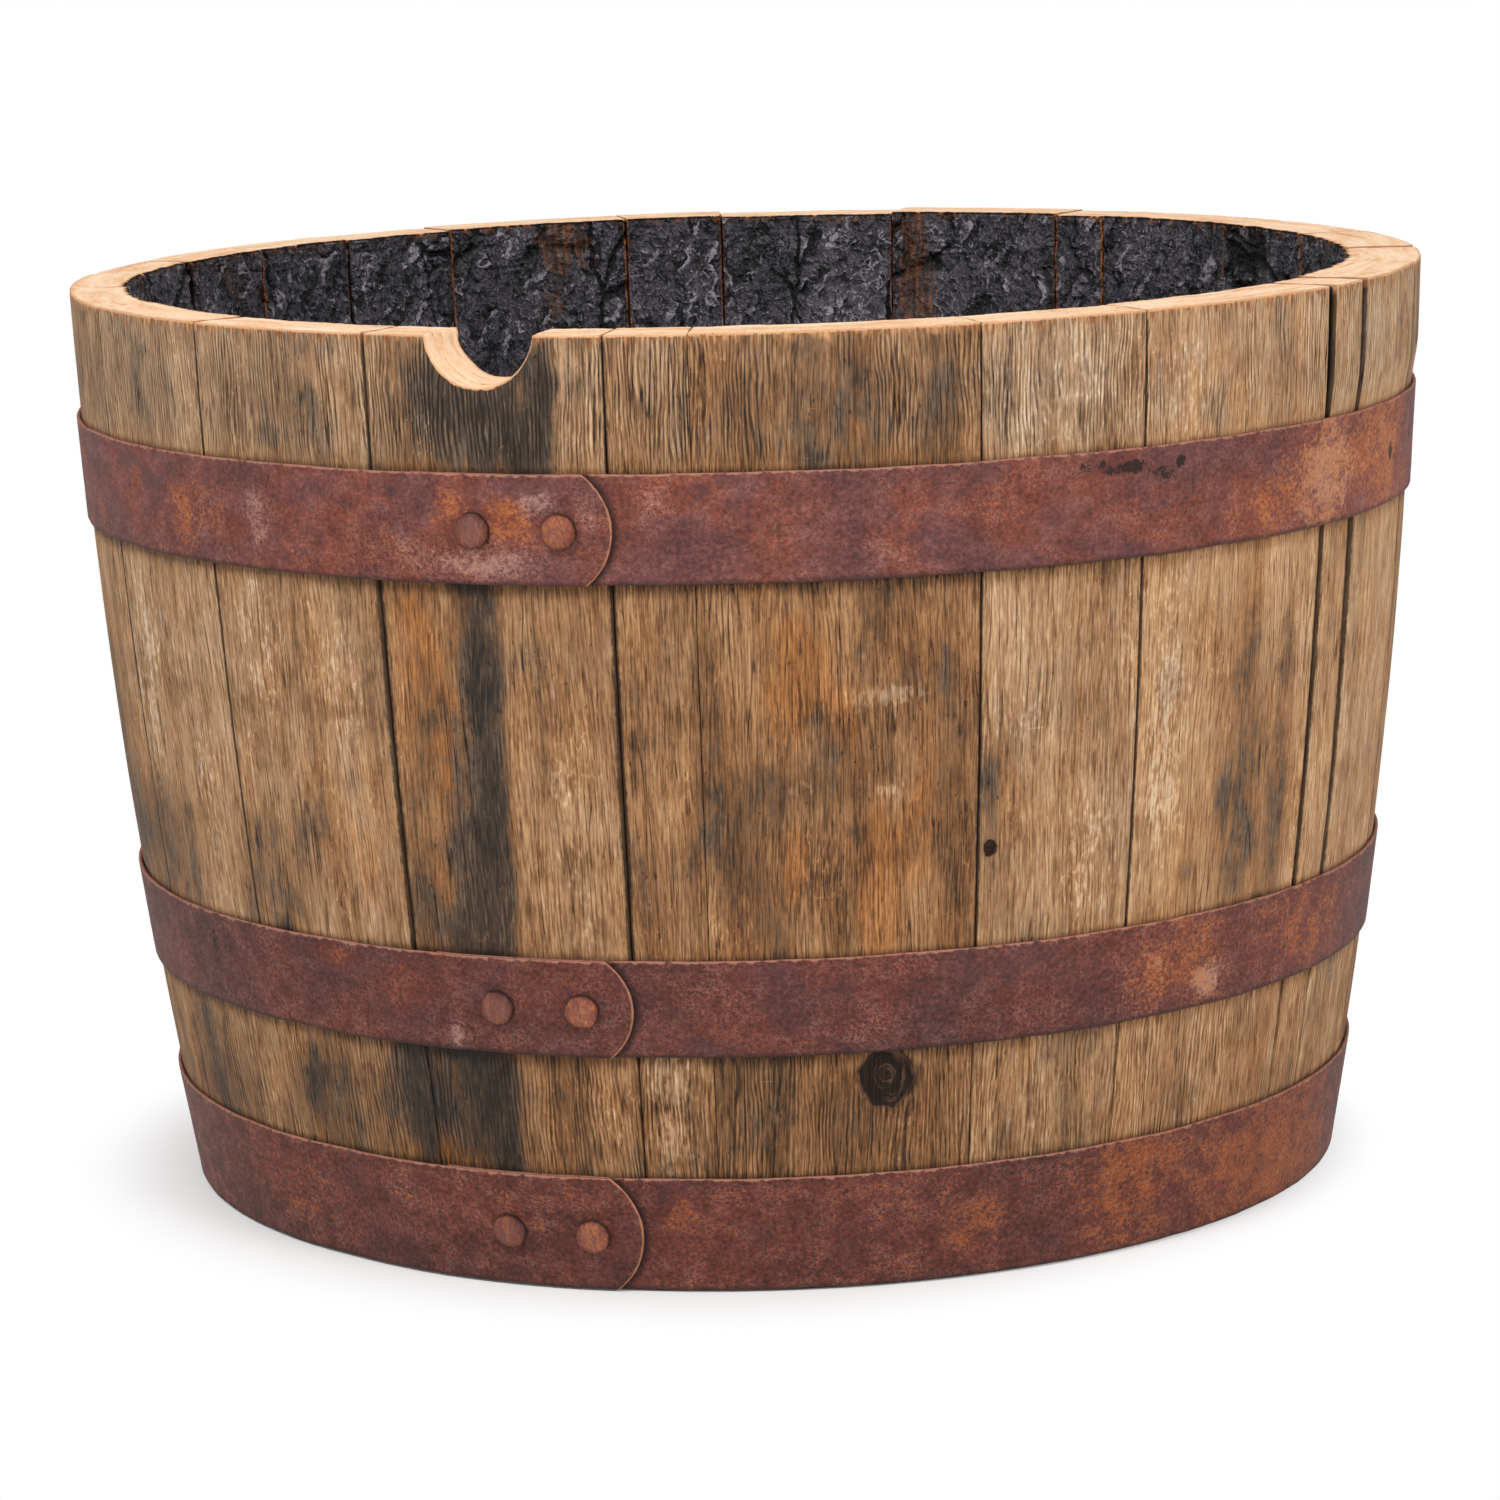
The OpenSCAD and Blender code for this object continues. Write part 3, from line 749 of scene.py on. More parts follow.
def charred_oak(m, across, along, seed, amber):
    """Colour, height and roughness of the burnt inside."""
    relief, crack, lip = char_relief(m, across, along, seed)
    crumb = m.ripple(across * 520, along * 420, seed, 3, 0.65)
    twist = m.ripple(across * 60, along * 60, seed + 6)
    fold = m.ripple(across * 170 + twist * 4, along * 130 + twist * 3, seed + 1, 3, 0.6)
    ridge = m.smooth(abs(fold), 0.045, 0)
    area = m.ripple(across * 14, along * 10, seed + 4)
    plates = m.xyz(across * 105 + twist * 4 + fold * 0.9, along * 88 - twist * 4, seed)
    plate = m.cells(plates, "F1", "Color")
    tilt_x, tilt_y, tone = m.parts(plate)
    px, py, _ = m.parts(plates)
    cx, cy, _ = m.parts(plate.other("Position"))
    tilt = (px - cx) * (tilt_x - 0.5) + (py - cy) * (tilt_y - 0.5)
    fibre = m.ripple(across * 420, along * 40, seed + 9)
    # Painted light: lips, ridges, the raised side of each plate and the higher relief are lighter,
    # and hollows darker
    value = (0.35 + crumb * 0.9 + fold * 1.2 + lip * 0.22 + tilt * 0.6 + (tone - 0.5) * 0.10
             + area + relief * 70)
    colour = m.ramp(value, CHAR)
    # Painted highlights on lips, ridges and raised plate sides; painted shade on the low sides and
    # in the cracks
    edge = m.smooth(lip, 0.55, 1) * m.smooth(crumb + area, -0.06, 0.10)
    crest = m.smooth(tilt + crumb * 0.3, 0.15, 0.27)
    shine = m.high(m.high(edge * 0.75, ridge * 0.24), crest * 0.75)
    shade = m.smooth(tilt + crumb * 0.3, -0.10, -0.24)
    colour = m.over(colour, ((168, 163, 170), shine), ((12, 10, 11), shade * 0.8),
                    ((10, 8, 9), m.smooth(crack, 0.2, 0.7) * 0.9))
    brown = m.smooth(amber + fold * 1.6 + crumb + fibre + area, 0.34, 0.86)
    bark = m.ramp(fibre * 1.6 + fold + 0.5, BARK)
    colour = m.mix(colour, bark, brown * 0.80)
    height = relief * 0.8 + crumb * 0.0007 + ridge * 0.0003 + fold * 0.0008 + tilt * 0.0024
    rough = 0.56 - lip * 0.12 + area * 0.4
    return colour, height, rough


def stave_finish():
    m = Finish("Stave oak, weathered outside and charred inside")
    across, through, along = m.attribute("place")
    side, depth, cut = m.attribute("edges")
    light, grey, seam = m.attribute("tone")
    seed, knot, wear = m.attribute("marks")
    soot, amber, pale = m.attribute("stain")
    frayed = m.ripple(across * 300, along * 300 + through * 300, seed, 3)
    torn = m.ripple(across * 380, along * 60, seed + 2, 3)
    chewed = m.ripple(across * 120, along * 60, seed + 5, 4, 0.6)

    skin, skin_height, dark = weathered_oak(m, across, along, seed, light, grey, soot, amber,
                                            pale)
    joint = m.smooth(side + frayed * 1.2, 1.35, 0.45) * m.smooth(wear, 0.0001, 0.0003)
    skin = m.mix(skin, (34, 24, 18), joint * m.line(along, 0.10, 0.13, 0.35, 0.85))
    ringed = m.noise(knot * 9, across * 60, along * 60)
    knotted = m.mix((22, 15, 12), (86, 60, 44), m.smooth(ringed, 0.50, 0.66))
    skin = m.mix(skin, knotted, m.smooth(knot, 1.15, 0.95) * 0.95)
    at_rim = m.smooth(along, HEIGHT - 0.009, HEIGHT - 0.005)
    fringe = m.smooth(cut + torn * 0.010 + chewed * 0.020, 0.0050, 0.0012) * at_rim
    skin = m.mix(skin, m.mix((140, 88, 50), (216, 164, 116), m.smooth(torn, -0.1, 0.12)),
                 fringe * 0.8)
    arc = m.smooth(cut + frayed * 0.002, 0.0022, 0.0006) * (1 - at_rim)
    skin = m.mix(skin, (40, 30, 27), arc * 0.8)

    char, char_height, char_rough = charred_oak(m, across, along, seed, amber)
    bare = m.smooth(side + frayed * 1.4, 3, 1.2) * seam
    scorch = m.smooth(cut + torn * 0.012, 0.004, 0.001) * m.smooth(chewed, -0.02, 0.08)
    char = m.over(char, ((176, 104, 50), bare * 0.9),
                  ((20, 14, 12), m.smooth(side, 1, 0.3) * 0.8), ((136, 82, 48), scorch * 0.7))

    fresh, fresh_height = fresh_oak(m, across, through, along, seed)
    near_char = depth + frayed * 0.003 + chewed * 0.004
    singed = m.smooth(near_char, 0.0026, 0.0010)
    bruised = m.smooth(through + frayed * 0.003, 0.0016, 0.0002)
    split = m.smooth(side + frayed * 0.8, 1.5, 0.5)
    fresh = m.over(fresh, ((196, 128, 76), singed * 0.8),
                   ((24, 18, 18), m.smooth(near_char, 0.0012, 0.0004)),
                   ((200, 140, 92), bruised * 0.7), ((150, 96, 62), split * 0.8))

    outside = m.smooth(through, 0.0026, 0.0012)
    inside = m.smooth(depth + frayed * 0.002, 0.0028, 0.0010)
    sawn = m.smooth(cut + frayed * 0.0022, 0.0016, 0.0005)
    sides = m.mix((12, 8, 7), (36, 24, 18), m.noise(through * 90, along * 9, seed))
    colour = m.mix(m.mix(m.mix(sides, skin, outside), char, inside), fresh, sawn)
    height = m.blend(m.blend(skin_height * outside, char_height, inside), fresh_height, sawn)
    rough = m.blend(m.blend(0.82 - dark * 0.12, char_rough, inside), 0.95, sawn)
    return m.finish(colour, rough, height, 0.25)


def head_finish():
    m = Finish("Head oak, charred above and weathered below")
    across, _, along = m.attribute("place")
    seed, upper, _ = m.attribute("marks")
    none = seed * 0
    char, char_height, char_rough = charred_oak(m, across, along, seed, none)
    skin, skin_height, _ = weathered_oak(m, across, along, seed, none - 0.4, none + 0.4,
                                         none, none, none)
    colour = m.mix(skin, char, upper)
    height = m.blend(skin_height, char_height, upper)
    rough = m.blend(0.75, char_rough, upper)
    return m.finish(colour, rough, height, 0.35)


def dowel_finish():
    m = Finish("Dowel wood")
    x, y, z = m.parts(m.node("ShaderNodeTexCoord", output="Object"))
    grain = m.noise(x * 60, y * 600, z * 600, 3)
    colour = m.ramp(grain, DOWEL_WOOD)
    return m.finish(colour, 0.65, (grain - 0.5) * 0.0002)


def rusty_steel(m, along, rise, seed, light, mottle, amber, pale, soot):
    """Colour and height of old rust: mauve-brown scale, orange bloom, pale crust, dark tarry spots
    and painted rivet shadows.
    """
    cloud = m.ripple(along * 15, rise * 22, seed, 3, 0.6)
    patch = m.ripple(along * 80, rise * 84, seed + 3, 5, 0.7)
    scale = m.ripple(along * 460, rise * 460, seed + 5, 3, 0.7)
    hue = m.ripple(along * 30, rise * 36, seed + 9, 3, 0.6)
    curl = m.ripple(along * 120, rise * 120, seed + 8)
    vein = m.ripple(along * 420 + curl * 2, rise * 420 - curl * 2, seed + 7, 2, 0.6)
    thread = m.smooth(abs(vein), 0.050, 0.010) * 0.8
    thread = m.high(thread, m.smooth(scale + vein * 0.3, 0.14, 0.22))
    value = 0.50 + light + (cloud * 0.5 + patch * 0.8) * mottle + scale * 1.3 + amber * 0.14
    brown = m.smooth((hue + cloud * 0.4) * mottle + amber * 0.22, -0.12, 0.14)
    colour = m.mix(m.ramp(value, MAUVE_RUST), m.ramp(value, BROWN_RUST), brown * 0.85)
    bloom = m.smooth(patch * 1.1 + hue * 0.7 + amber * 0.36 + scale * 0.9 + light * 0.3,
                     0.20, 0.42)
    colour = m.mix(colour, m.ramp(value, ORANGE_RUST), bloom * 0.8)
    ash = m.smooth(pale + patch * 1.9 + scale * 1.5, 0.42, 1.05)
    fine = m.smooth(pale * 0.5 + patch * 1.6 + hue * 0.8, -0.16, 0.30)
    veiled = m.high(ash * 0.50, thread * (fine * 0.36 + ash * 0.45 + bloom * 0.06))
    crust = m.mix(m.mix((186, 148, 142), (204, 136, 88), bloom), (216, 170, 142), ash * 0.5)
    colour = m.mix(colour, crust, veiled)
    slate = m.smooth(cloud - patch * 0.6 - hue * 0.6 - amber * 0.3, 0.10, 0.24) * mottle
    colour = m.mix(colour, (76, 54, 58), slate * 0.45)
    # Dark tarry patches; where the soot marks lie below and right of the bilge hoop's rivets they
    # are painted shadows
    tar_and_shadow = m.smooth(soot + patch * 2.6 + scale * 1.2, 0.44, 0.60)
    colour = m.mix(colour, (30, 18, 18), tar_and_shadow * 0.92)
    height = patch * 0.0005 + scale * 0.0007 + thread * 0.00012 + ash * 0.0001 - tar_and_shadow * 0.0002
    return colour, height


def hoop_finish():
    m = Finish("Hoop steel, rusted")
    along, depth, rise = m.attribute("place")
    seed, _, _ = m.attribute("marks")
    side, end, beyond = m.attribute("edges")
    light, mottle, rosy = m.attribute("tone")
    soot, amber, pale = m.attribute("stain")
    colour, height = rusty_steel(m, along, rise, seed, light, mottle, amber + rosy, pale, soot)
    fray = m.ripple(along * 260, rise * 260, seed + 1, 3)
    # A band along the strip's edges, laid on lighter only along the upper edge as a painted
    # highlight
    edge_band = m.smooth(side + fray * 0.0044, 0.0011, 0.0002) * m.smooth(depth, 0.0002, 0.0016)
    # Darker along the lower edge: painted shade
    lower_edge_shade = m.smooth(side + fray * 0.0020, 0.0028, 0.0004) * m.smooth(rise, 0, -0.01)
    # The lap's cut end: a lighter rubbed edge on the outer face with a painted highlight, and the
    # end face darker as painted shade
    cut_end = m.smooth(end + fray * 0.0014, 0.0012, 0.0004)
    # Darker on the lower layer just past the lap's tip: painted shadow of the step
    tip_step_shadow = m.smooth(beyond, 0.0045, 0.0004) * m.smooth(beyond, -0.002, 0)
    colour = m.over(colour, ((190, 134, 112), edge_band * m.smooth(rise, -0.01, 0.01) * 0.65),
                    ((38, 22, 22), lower_edge_shade * 0.6),
                    ((206, 144, 110), cut_end * m.smooth(depth, 0.0014, 0.0019) * 0.6),
                    ((48, 28, 26), cut_end * m.smooth(depth, 0.0014, 0.0008) * 0.8),
                    ((40, 24, 24), tip_step_shadow * 0.7))
    return m.finish(colour, 0.66, height, 0.35, 0.1)


def rivet_finish():
    m = Finish("Rivet steel, rusted")
    x, y, z = m.attribute("place")
    spot, _, _ = m.parts(m.node("ShaderNodeTexCoord", output="Object"))
    none = spot * 0
    pale = m.smooth(m.noise(spot * 14, 2, 0, 0), 0.40, 0.62)
    colour, height = rusty_steel(m, x + spot * 3, y, z * 40, none + 0.02, none + 1,
                                 0.5 - pale * 0.4, pale * 0.6, none)
    # Lighter towards the top of each head: painted highlight
    crown_highlight = m.smooth(z, 0.0036, 0.0060)
    colour = m.over(colour, ((190, 130, 106), crown_highlight * (0.12 + pale * 0.18)),
                    # Darker towards the foot of each head: painted shade
                    ((40, 22, 21), m.smooth(z, 0.0040, 0.0004) * 0.9))
    return m.finish(colour, 0.52, height * 1.8, 0.45, 0.1)


# ---- Stains and painted rivet shadows, as ellipses on the wall ----
# Angle in degrees, height, half width and half height in mm, then soot, amber and pale, where
# zeros at the end are left out

OUTSIDE_STAINS = (
    (-89.5, 412, 27, 32, 1.3), (-88, 396, 14, 34, 0.9), (-93.8, 408, 15, 32, 1),
    (-84.9, 405, 5, 44, 0.9), (-97.5, 392, 14, 50, 0.42), (-86.6, 400, 6, 46, 0.9),
    (-91.4, 330, 11, 44, 0.95), (-90.8, 270, 8, 50, 1), (-91, 215, 9, 46, 0.95),
    (-91.6, 172, 10, 34, 1), (-92.6, 250, 12, 90, 0.5, 0.1), (-93.6, 175, 10, 40, 0.6),
    (-93.4, 96, 14, 60, 1.15), (-98, 98, 20, 40, 1.15), (-101.6, 96, 8, 60, 0.5),
    (-86.6, 94, 16, 60, 0.45), (-99.5, 60, 22, 9, 0, 0.7), (-96.5, 210, 20, 70, 0.4, 0.3),
    (-96.5, 280, 16, 44, 0.15, 0.6), (-97.5, 310, 10, 24, 0, 0.6), (-97.5, 165, 14, 26, 0.5, 0.3),
    (-84, 240, 14, 12, 0, 0, 0.6), (-84.5, 205, 12, 20, 0, 0, 0.35), (-84.5, 312, 16, 22, 0.3),
    (-83, 165, 10, 20, 0, 0, 0.4), (-78.5, 255, 7, 70, 0.35), (-77, 190, 12, 34, 0.3),
    (-73, 262, 9, 46, 0.5), (-70.5, 222, 16, 34, 0.5), (-66.5, 235, 16, 16, 0.5),
    (-61.5, 246, 18, 22, 0.5), (-69, 174, 18, 30, 0.55), (-58.5, 312, 10, 26, 0.4),
    (-55, 255, 10, 50, 0.35), (-74.5, 215, 8, 40, 0.3), (-66, 286, 14, 34, 0, 0.85),
    (-62.5, 268, 10, 20, 0, 0.6), (-60, 195, 14, 36, 0, 0.95), (-66.5, 205, 8, 24, 0, 0.8),
    (-55.5, 212, 10, 34, 0, 0.6), (-76.5, 292, 8, 40, 0, 0.4), (-58, 276, 16, 5, 0, 0, 0.95),
    (-61.5, 274, 8, 8, 0, 0, 0.4), (-58.5, 233, 9, 4, 0, 0, 0.8), (-65.5, 236, 8, 5, 0, 0, 0.6),
    (-53, 225, 8, 50, 0.3), (-54, 300, 8, 34, 0.35), (-62, 400, 34, 40, 0.6),
    (-71, 402, 20, 40, 0.45), (-54, 392, 12, 44, 0.45), (-77, 400, 14, 44, 0.3),
    (-77.3, 92, 11, 40, 0, 0, 0.9), (-70.5, 92, 18, 36, 0.5), (-62, 80, 22, 30, 0.45, 0.2),
    (-54.5, 82, 12, 30, 0.3, 0.3), (-47.5, 262, 18, 14, 0, 0, 0.45),
    (-46, 300, 20, 18, 0.1, 0, 0.2), (-48.5, 226, 14, 26, 0.35), (-41, 250, 12, 26, 0.3),
    (-40.5, 190, 16, 50, 0, 0, 0.45), (-50.3, 210, 6, 60, 0.4), (-46, 165, 22, 18, 0.3),
    (-45, 80, 18, 22, 0, 0, 0.3), (-45, 404, 44, 44, 0, 0, 0.34), (-33.5, 250, 14, 80, 0, 0, 0.6),
    (-30, 190, 8, 60, 0.3, 0.2), (-23, 180, 32, 60, 0.6), (-24.5, 262, 22, 70, 0.5, 0.3),
    (-18.5, 235, 10, 80, 0.45), (-34, 160, 16, 20, 0.35), (-33, 400, 20, 34, 0, 0, 0.4),
    (-21, 388, 20, 32, 0.4), (-28, 75, 22, 26, 0.25, 0, 0.2), (-5, 85, 16, 26, 0.35),
    (-8, 300, 10, 50, 0, 0, 0.3), (-131, 188, 44, 44, 0.4), (-146, 225, 24, 90, 0.5),
    (-138.5, 176, 46, 44, 0.5), (-123.5, 220, 12, 50, 0, 0, 0.5), (-130, 290, 24, 36, 0, 0, 0.4),
    (-128, 404, 38, 44, 0.45), (-115.5, 180, 26, 44, 0.6), (-108.5, 205, 18, 44, 0.45),
    (-113.5, 298, 22, 40, 0, 0, 0.45), (-134, 250, 16, 50, 0, 0, 0.5), (-113, 268, 8, 40, 0.35),
    (-108, 404, 32, 44, 0.5), (-116, 400, 16, 44, 0.35), (-101.5, 230, 7, 100, 0.35),
    (-104.5, 280, 14, 40, 0, 0, 0.4), (-103.5, 190, 12, 24, 0, 0.5), (-130, 76, 44, 40, 0.65),
    (-112, 76, 32, 40, 0.65, 0.2), (-103, 85, 16, 40, 0.65), (-152, 200, 30, 70, 0.5),
    (-155, 80, 34, 40, 0.5), (-150, 400, 34, 44, 0.35), (35, 200, 30, 50, 0.5),
    (62, 120, 24, 40, 0.5, 0.2), (60, 290, 14, 60, 0, 0.7), (85, 190, 20, 60, 0, 0, 0.4),
    (104, 225, 12, 90, 0.7), (118, 90, 22, 26, 0.5, 0.3), (133, 300, 24, 40, 0, 0.6, 0.1),
    (148, 180, 20, 40, 0.5), (161, 400, 26, 32, 0.4), (174, 240, 18, 60, 0, 0.5),
    (-168, 280, 22, 44, 0, 0, 0.5), (-164, 180, 18, 30, 0.4), (20, 300, 18, 50, 0, 0.5),
    (12, 90, 20, 24, 0.5), (75, 400, 40, 30, 0.35), (120, 404, 30, 34, 0.4), (40, 84, 40, 28, 0.4),
    (150, 80, 40, 28, 0.4, 0.1), (92, 76, 30, 26, 0.3), (-175, 84, 30, 30, 0.45),
)
INSIDE_STAINS = (
    (92.5, 400, 10, 60, 0, 1), (91, 330, 9, 60, 0, 0.6), (129.5, 428, 16, 16, 0, 0.9),
    (131, 405, 9, 26, 0, 0.5), (100, 436, 18, 6, 0, 0.6), (172, 425, 16, 16, 0, 0.5),
    (160, 436, 24, 5, 0, 0.4), (30, 420, 14, 30, 0, 0.5), (-60, 400, 16, 50, 0, 0.6),
    (-150, 420, 16, 40, 0, 0.6),
)
HOOP_STAINS = (
    # The first two marks, soot just below and right of the bilge hoop's rivets, are painted shadows
    # of the rivets
    (-83.2, 350, 8, 7, 0.42), (-90.2, 350, 8, 7, 0.42), (-93, 362, 12, 10, 0, 0.9, 0.2),
    (-88, 358, 14, 12, 0, 1.2, 0.3), (-90, 339, 34, 9, 0, 0, 0.72),
    (-85.5, 364, 10, 7, 0, 0.1, 0.8), (-81.5, 356, 6, 12, 0, 0.5, 0.6),
    (-96.5, 345, 12, 12, 0, 0.4, 0.4), (-76.5, 366, 10, 7, 0, 0, 0.5),
    (-58, 340, 20, 8, 0, 0, 0.35), (-40, 370, 16, 5, 0.65), (-38, 369, 8, 3, 0.45),
    (-35, 366, 9, 5, 0.6), (-33.2, 370, 2.5, 2.5, 1), (-47, 350, 20, 14, 0, 0.4),
    (-15, 353, 30, 34, 0, 1.3, 0.9), (-3, 355, 40, 34, 0, 1.2, 0.5),
    (-24, 345, 22, 16, 0, 0.8, 0.3), (-1.2, 353, 3, 4, 1), (6.8, 357, 3, 4, 1),
    (-120, 350, 24, 16, 0, 0.8, 0.4), (-112, 352, 8, 18, 0, 0.2, 0.7),
    (-107, 338, 12, 7, 0, 0, 0.5), (-130, 360, 14, 8, 0.3, 0.3), (-108.5, 150, 14, 7, 0, 1),
    (-101, 140, 12, 12, 0, 0.5, 0.1), (-96, 120, 5, 8, 0, 0, 0.7), (-126, 138, 4, 12, 0.6),
    (-34, 132, 10, 14, 0, 0.6, 0.4), (-27, 125, 10, 9, 0, 0.3, 0.8),
    (-60, 122, 26, 6, 0, 0.2, 0.3), (-12, 140, 50, 30, 0, 1, 0.3), (-30, 140, 34, 30, 0, 1, 0.4),
    (-34, 34, 30, 34, 0, 0.8, 0.2), (-12, 28, 70, 40, 0, 1), (-104, 40, 10, 12, 0, 0.2, 0.4),
    (-120, 30, 24, 16, 0, 0.4, 0.1), (-62, 48, 16, 5, 0.2, 0.4, 0.1), (-77, 40, 8, 12, 0, 0.5),
    (-50, 25, 22, 18, 0, 0.5, 0.1), (40, 350, 26, 18, 0, 0.9, 0.3), (95, 352, 20, 16, 0, 0.6, 0.6),
    (140, 345, 28, 16, 0, 0.9, 0.2), (70, 136, 26, 14, 0, 0.9, 0.2),
    (120, 130, 18, 12, 0.3, 0.5, 0.4), (170, 135, 26, 12, 0, 0.7, 0.2),
    (60, 30, 34, 20, 0, 0.9, 0.1), (110, 26, 22, 18, 0, 0.5, 0.5), (160, 30, 30, 18, 0, 0.8, 0.1),
    (-170, 352, 20, 14, 0, 0.5, 0.5),
)


# How sharply a mark ends, and the most that the marks in one place add up to
STAIN_EDGE, STAIN_LIMIT = 1.5, 1.6


def stain(piece, marks, inside=()):
    """Writes the marks on a piece. The inner half of a wall has marks of its own."""
    mesh = piece.data
    count = len(mesh.vertices)
    at = np.empty(count * 3, np.float32)
    mesh.vertices.foreach_get("co", at)
    x, y, z = at.reshape(-1, 3).T.astype(float)
    radius, angle = np.hypot(x, y), np.arctan2(y, x)
    amounts = np.zeros((count, 3))
    outer = np.ones(count, bool)
    if inside:
        place = np.empty(count * 3, np.float32)
        mesh.attributes["place"].data.foreach_get("vector", place)
        outer = place.reshape(-1, 3)[:, 1] < RIM_WALL / 2
    for where, group in ((outer, marks), (~outer, inside)):
        for degrees, height, wide, tall, *strength in group:
            turn = (angle - math.radians(degrees) + math.pi) % math.tau - math.pi
            away = (turn * radius / (wide / 1000)) ** 2 + ((z - height / 1000) / (tall / 1000)) ** 2
            fall = np.exp(-away ** STAIN_EDGE) * where
            amounts[:, :len(strength)] += fall[:, None] * np.array(strength)
    layer = mesh.attributes.new("stain", "FLOAT_VECTOR", "POINT")
    amounts = np.clip(amounts, 0, STAIN_LIMIT).astype(np.float32)
    layer.data.foreach_set("vector", amounts.ravel())


# ---- The barrel ----

def dress(piece, slot, *nodes):
    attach(piece, "root")
    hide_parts(*nodes)


# Lightness and greyness of each stave, anticlockwise from the notch
STAVE_TONES = (
    (0.03, -0.1), (-0.01, -0.3), (-0.05, -0.4), (0.12, 0.1), (0.19, -0.4), (0.18, -0.3),
    (0.22, -0.1), (0.05, 0.0), (-0.04, 0.0), (0.12, 0.2), (-0.02, -0.3), (0.1, 0.1),
    (-0.06, -0.2), (0.08, 0.4), (0.15, 0.2), (-0.02, 0.0), (0.10, 0.3), (-0.08, -0.4),
    (0.04, 0.1), (0.14, 0.4), (0.0, 0.0), (0.08, 0.3), (0.12, 0.4), (0.10, 0.2),
)
# How wide the outer edges have worn along each stave's first joint, in mm
JOINT_WEAR = (1.9, 1.6, 0.15, 0.8, 0.8, 1.5, 2.2, 0.7, 1.2, 0.6, 1.4, 0.6,
              1.0, 1.6, 0.6, 1.2, 0.5, 1.4, 0.8, 0.6, 1.3, 0.8, 0.9, 0.95)
# How much bare wood shows inside at each stave's first joint
SEAMS = (0.3, 0.2, 0.5, 0.3, 0.6, 0.0, 0.0, 0.4, 0.2, 0.6, 0.3, 1.0,
         0.15, 0.3, 0.25, 0.8, 0.0, 0.6, 0.1, 0.3, 0.6, 0.2, 0.4, 0.3)
# How far the loose staves stand out near the rim, in metres
SPLAY = {4: 0.0006, 5: 0.0018, 6: 0.0024, 7: 0.0024, 8: 0.0012}
# Lightness, mottling and redness of each hoop
HOOP_TONES = {"bilge": (-0.06, 0.95, 0.0), "quarter": (-0.24, 0.7, 0.1),
              "chime": (-0.32, 0.85, 0.5)}
# Knots by stave: angle in degrees, the wall's radius there, height and radius of the knot
KNOTS = {2: (-58.6, 0.297, 0.1005, 0.0124), 3: (-49.9, 0.31, 0.203, 0.0034)}
NO_KNOT = (0.0, -1.0, 0.01)
# Least and greatest step of a stave's sawn end against the rim
RIM_STEPS = (-0.0007, 0.0005)
RANDOM_SEED = 24
BOARD_COUNT = 7
# Size of the faces of a charred board, and the distance within which corners are joined
VOXEL, WELD = 0.0022, 0.00001


def make_staves():
    shape, finish = stave_shape(), stave_finish()
    random = np.random.default_rng(RANDOM_SEED)
    for i in range(STAVE_COUNT):
        start, end = joint_angle(i), joint_angle(i + 1)
        name = "stave_bung" if i == 0 else f"stave_{i + 1:02d}"
        breadth = (end - start) * RIM_RADIUS
        inner = bend_centre(BASE_RADIUS - CHIME_WALL,
                            RIM_RADIUS - RIM_WALL - STAVE_EXTRAS[i] / 1000)
        knot = NO_KNOT
        if i in KNOTS:
            angle, wall, height, radius = KNOTS[i]
            knot = ((math.radians(angle) - (start + end) / 2) * wall, height, radius)
        sizes = {
            "Start": start, "End": end, "Start Gap": joint_gap(i), "End Gap": joint_gap(i + 1),
            "Inner Centre": (*inner, 0.0), "Start Wear": JOINT_WEAR[i] / 1000,
            "End Wear": JOINT_WEAR[(i + 1) % STAVE_COUNT] / 1000,
            "Notch Radius": BUNG_RADIUS if i == 0 else 0.0,
            "Splay": SPLAY.get(i, 0.0), "Rim Step": float(random.uniform(*RIM_STEPS)),
            "Knot": knot, "Tone": (*STAVE_TONES[i], SEAMS[i]), "Seed": 11.0 * i + 3.0,
            "Columns": 4 * round(breadth / COLUMN_WIDTH / 4) + 1 if i else NOTCH_COLUMNS,
        }
        piece = shape.make(f"{name}_oak", sizes, finish)
        stain(piece, OUTSIDE_STAINS, INSIDE_STAINS)
        dress(piece, "oak_staves", name)


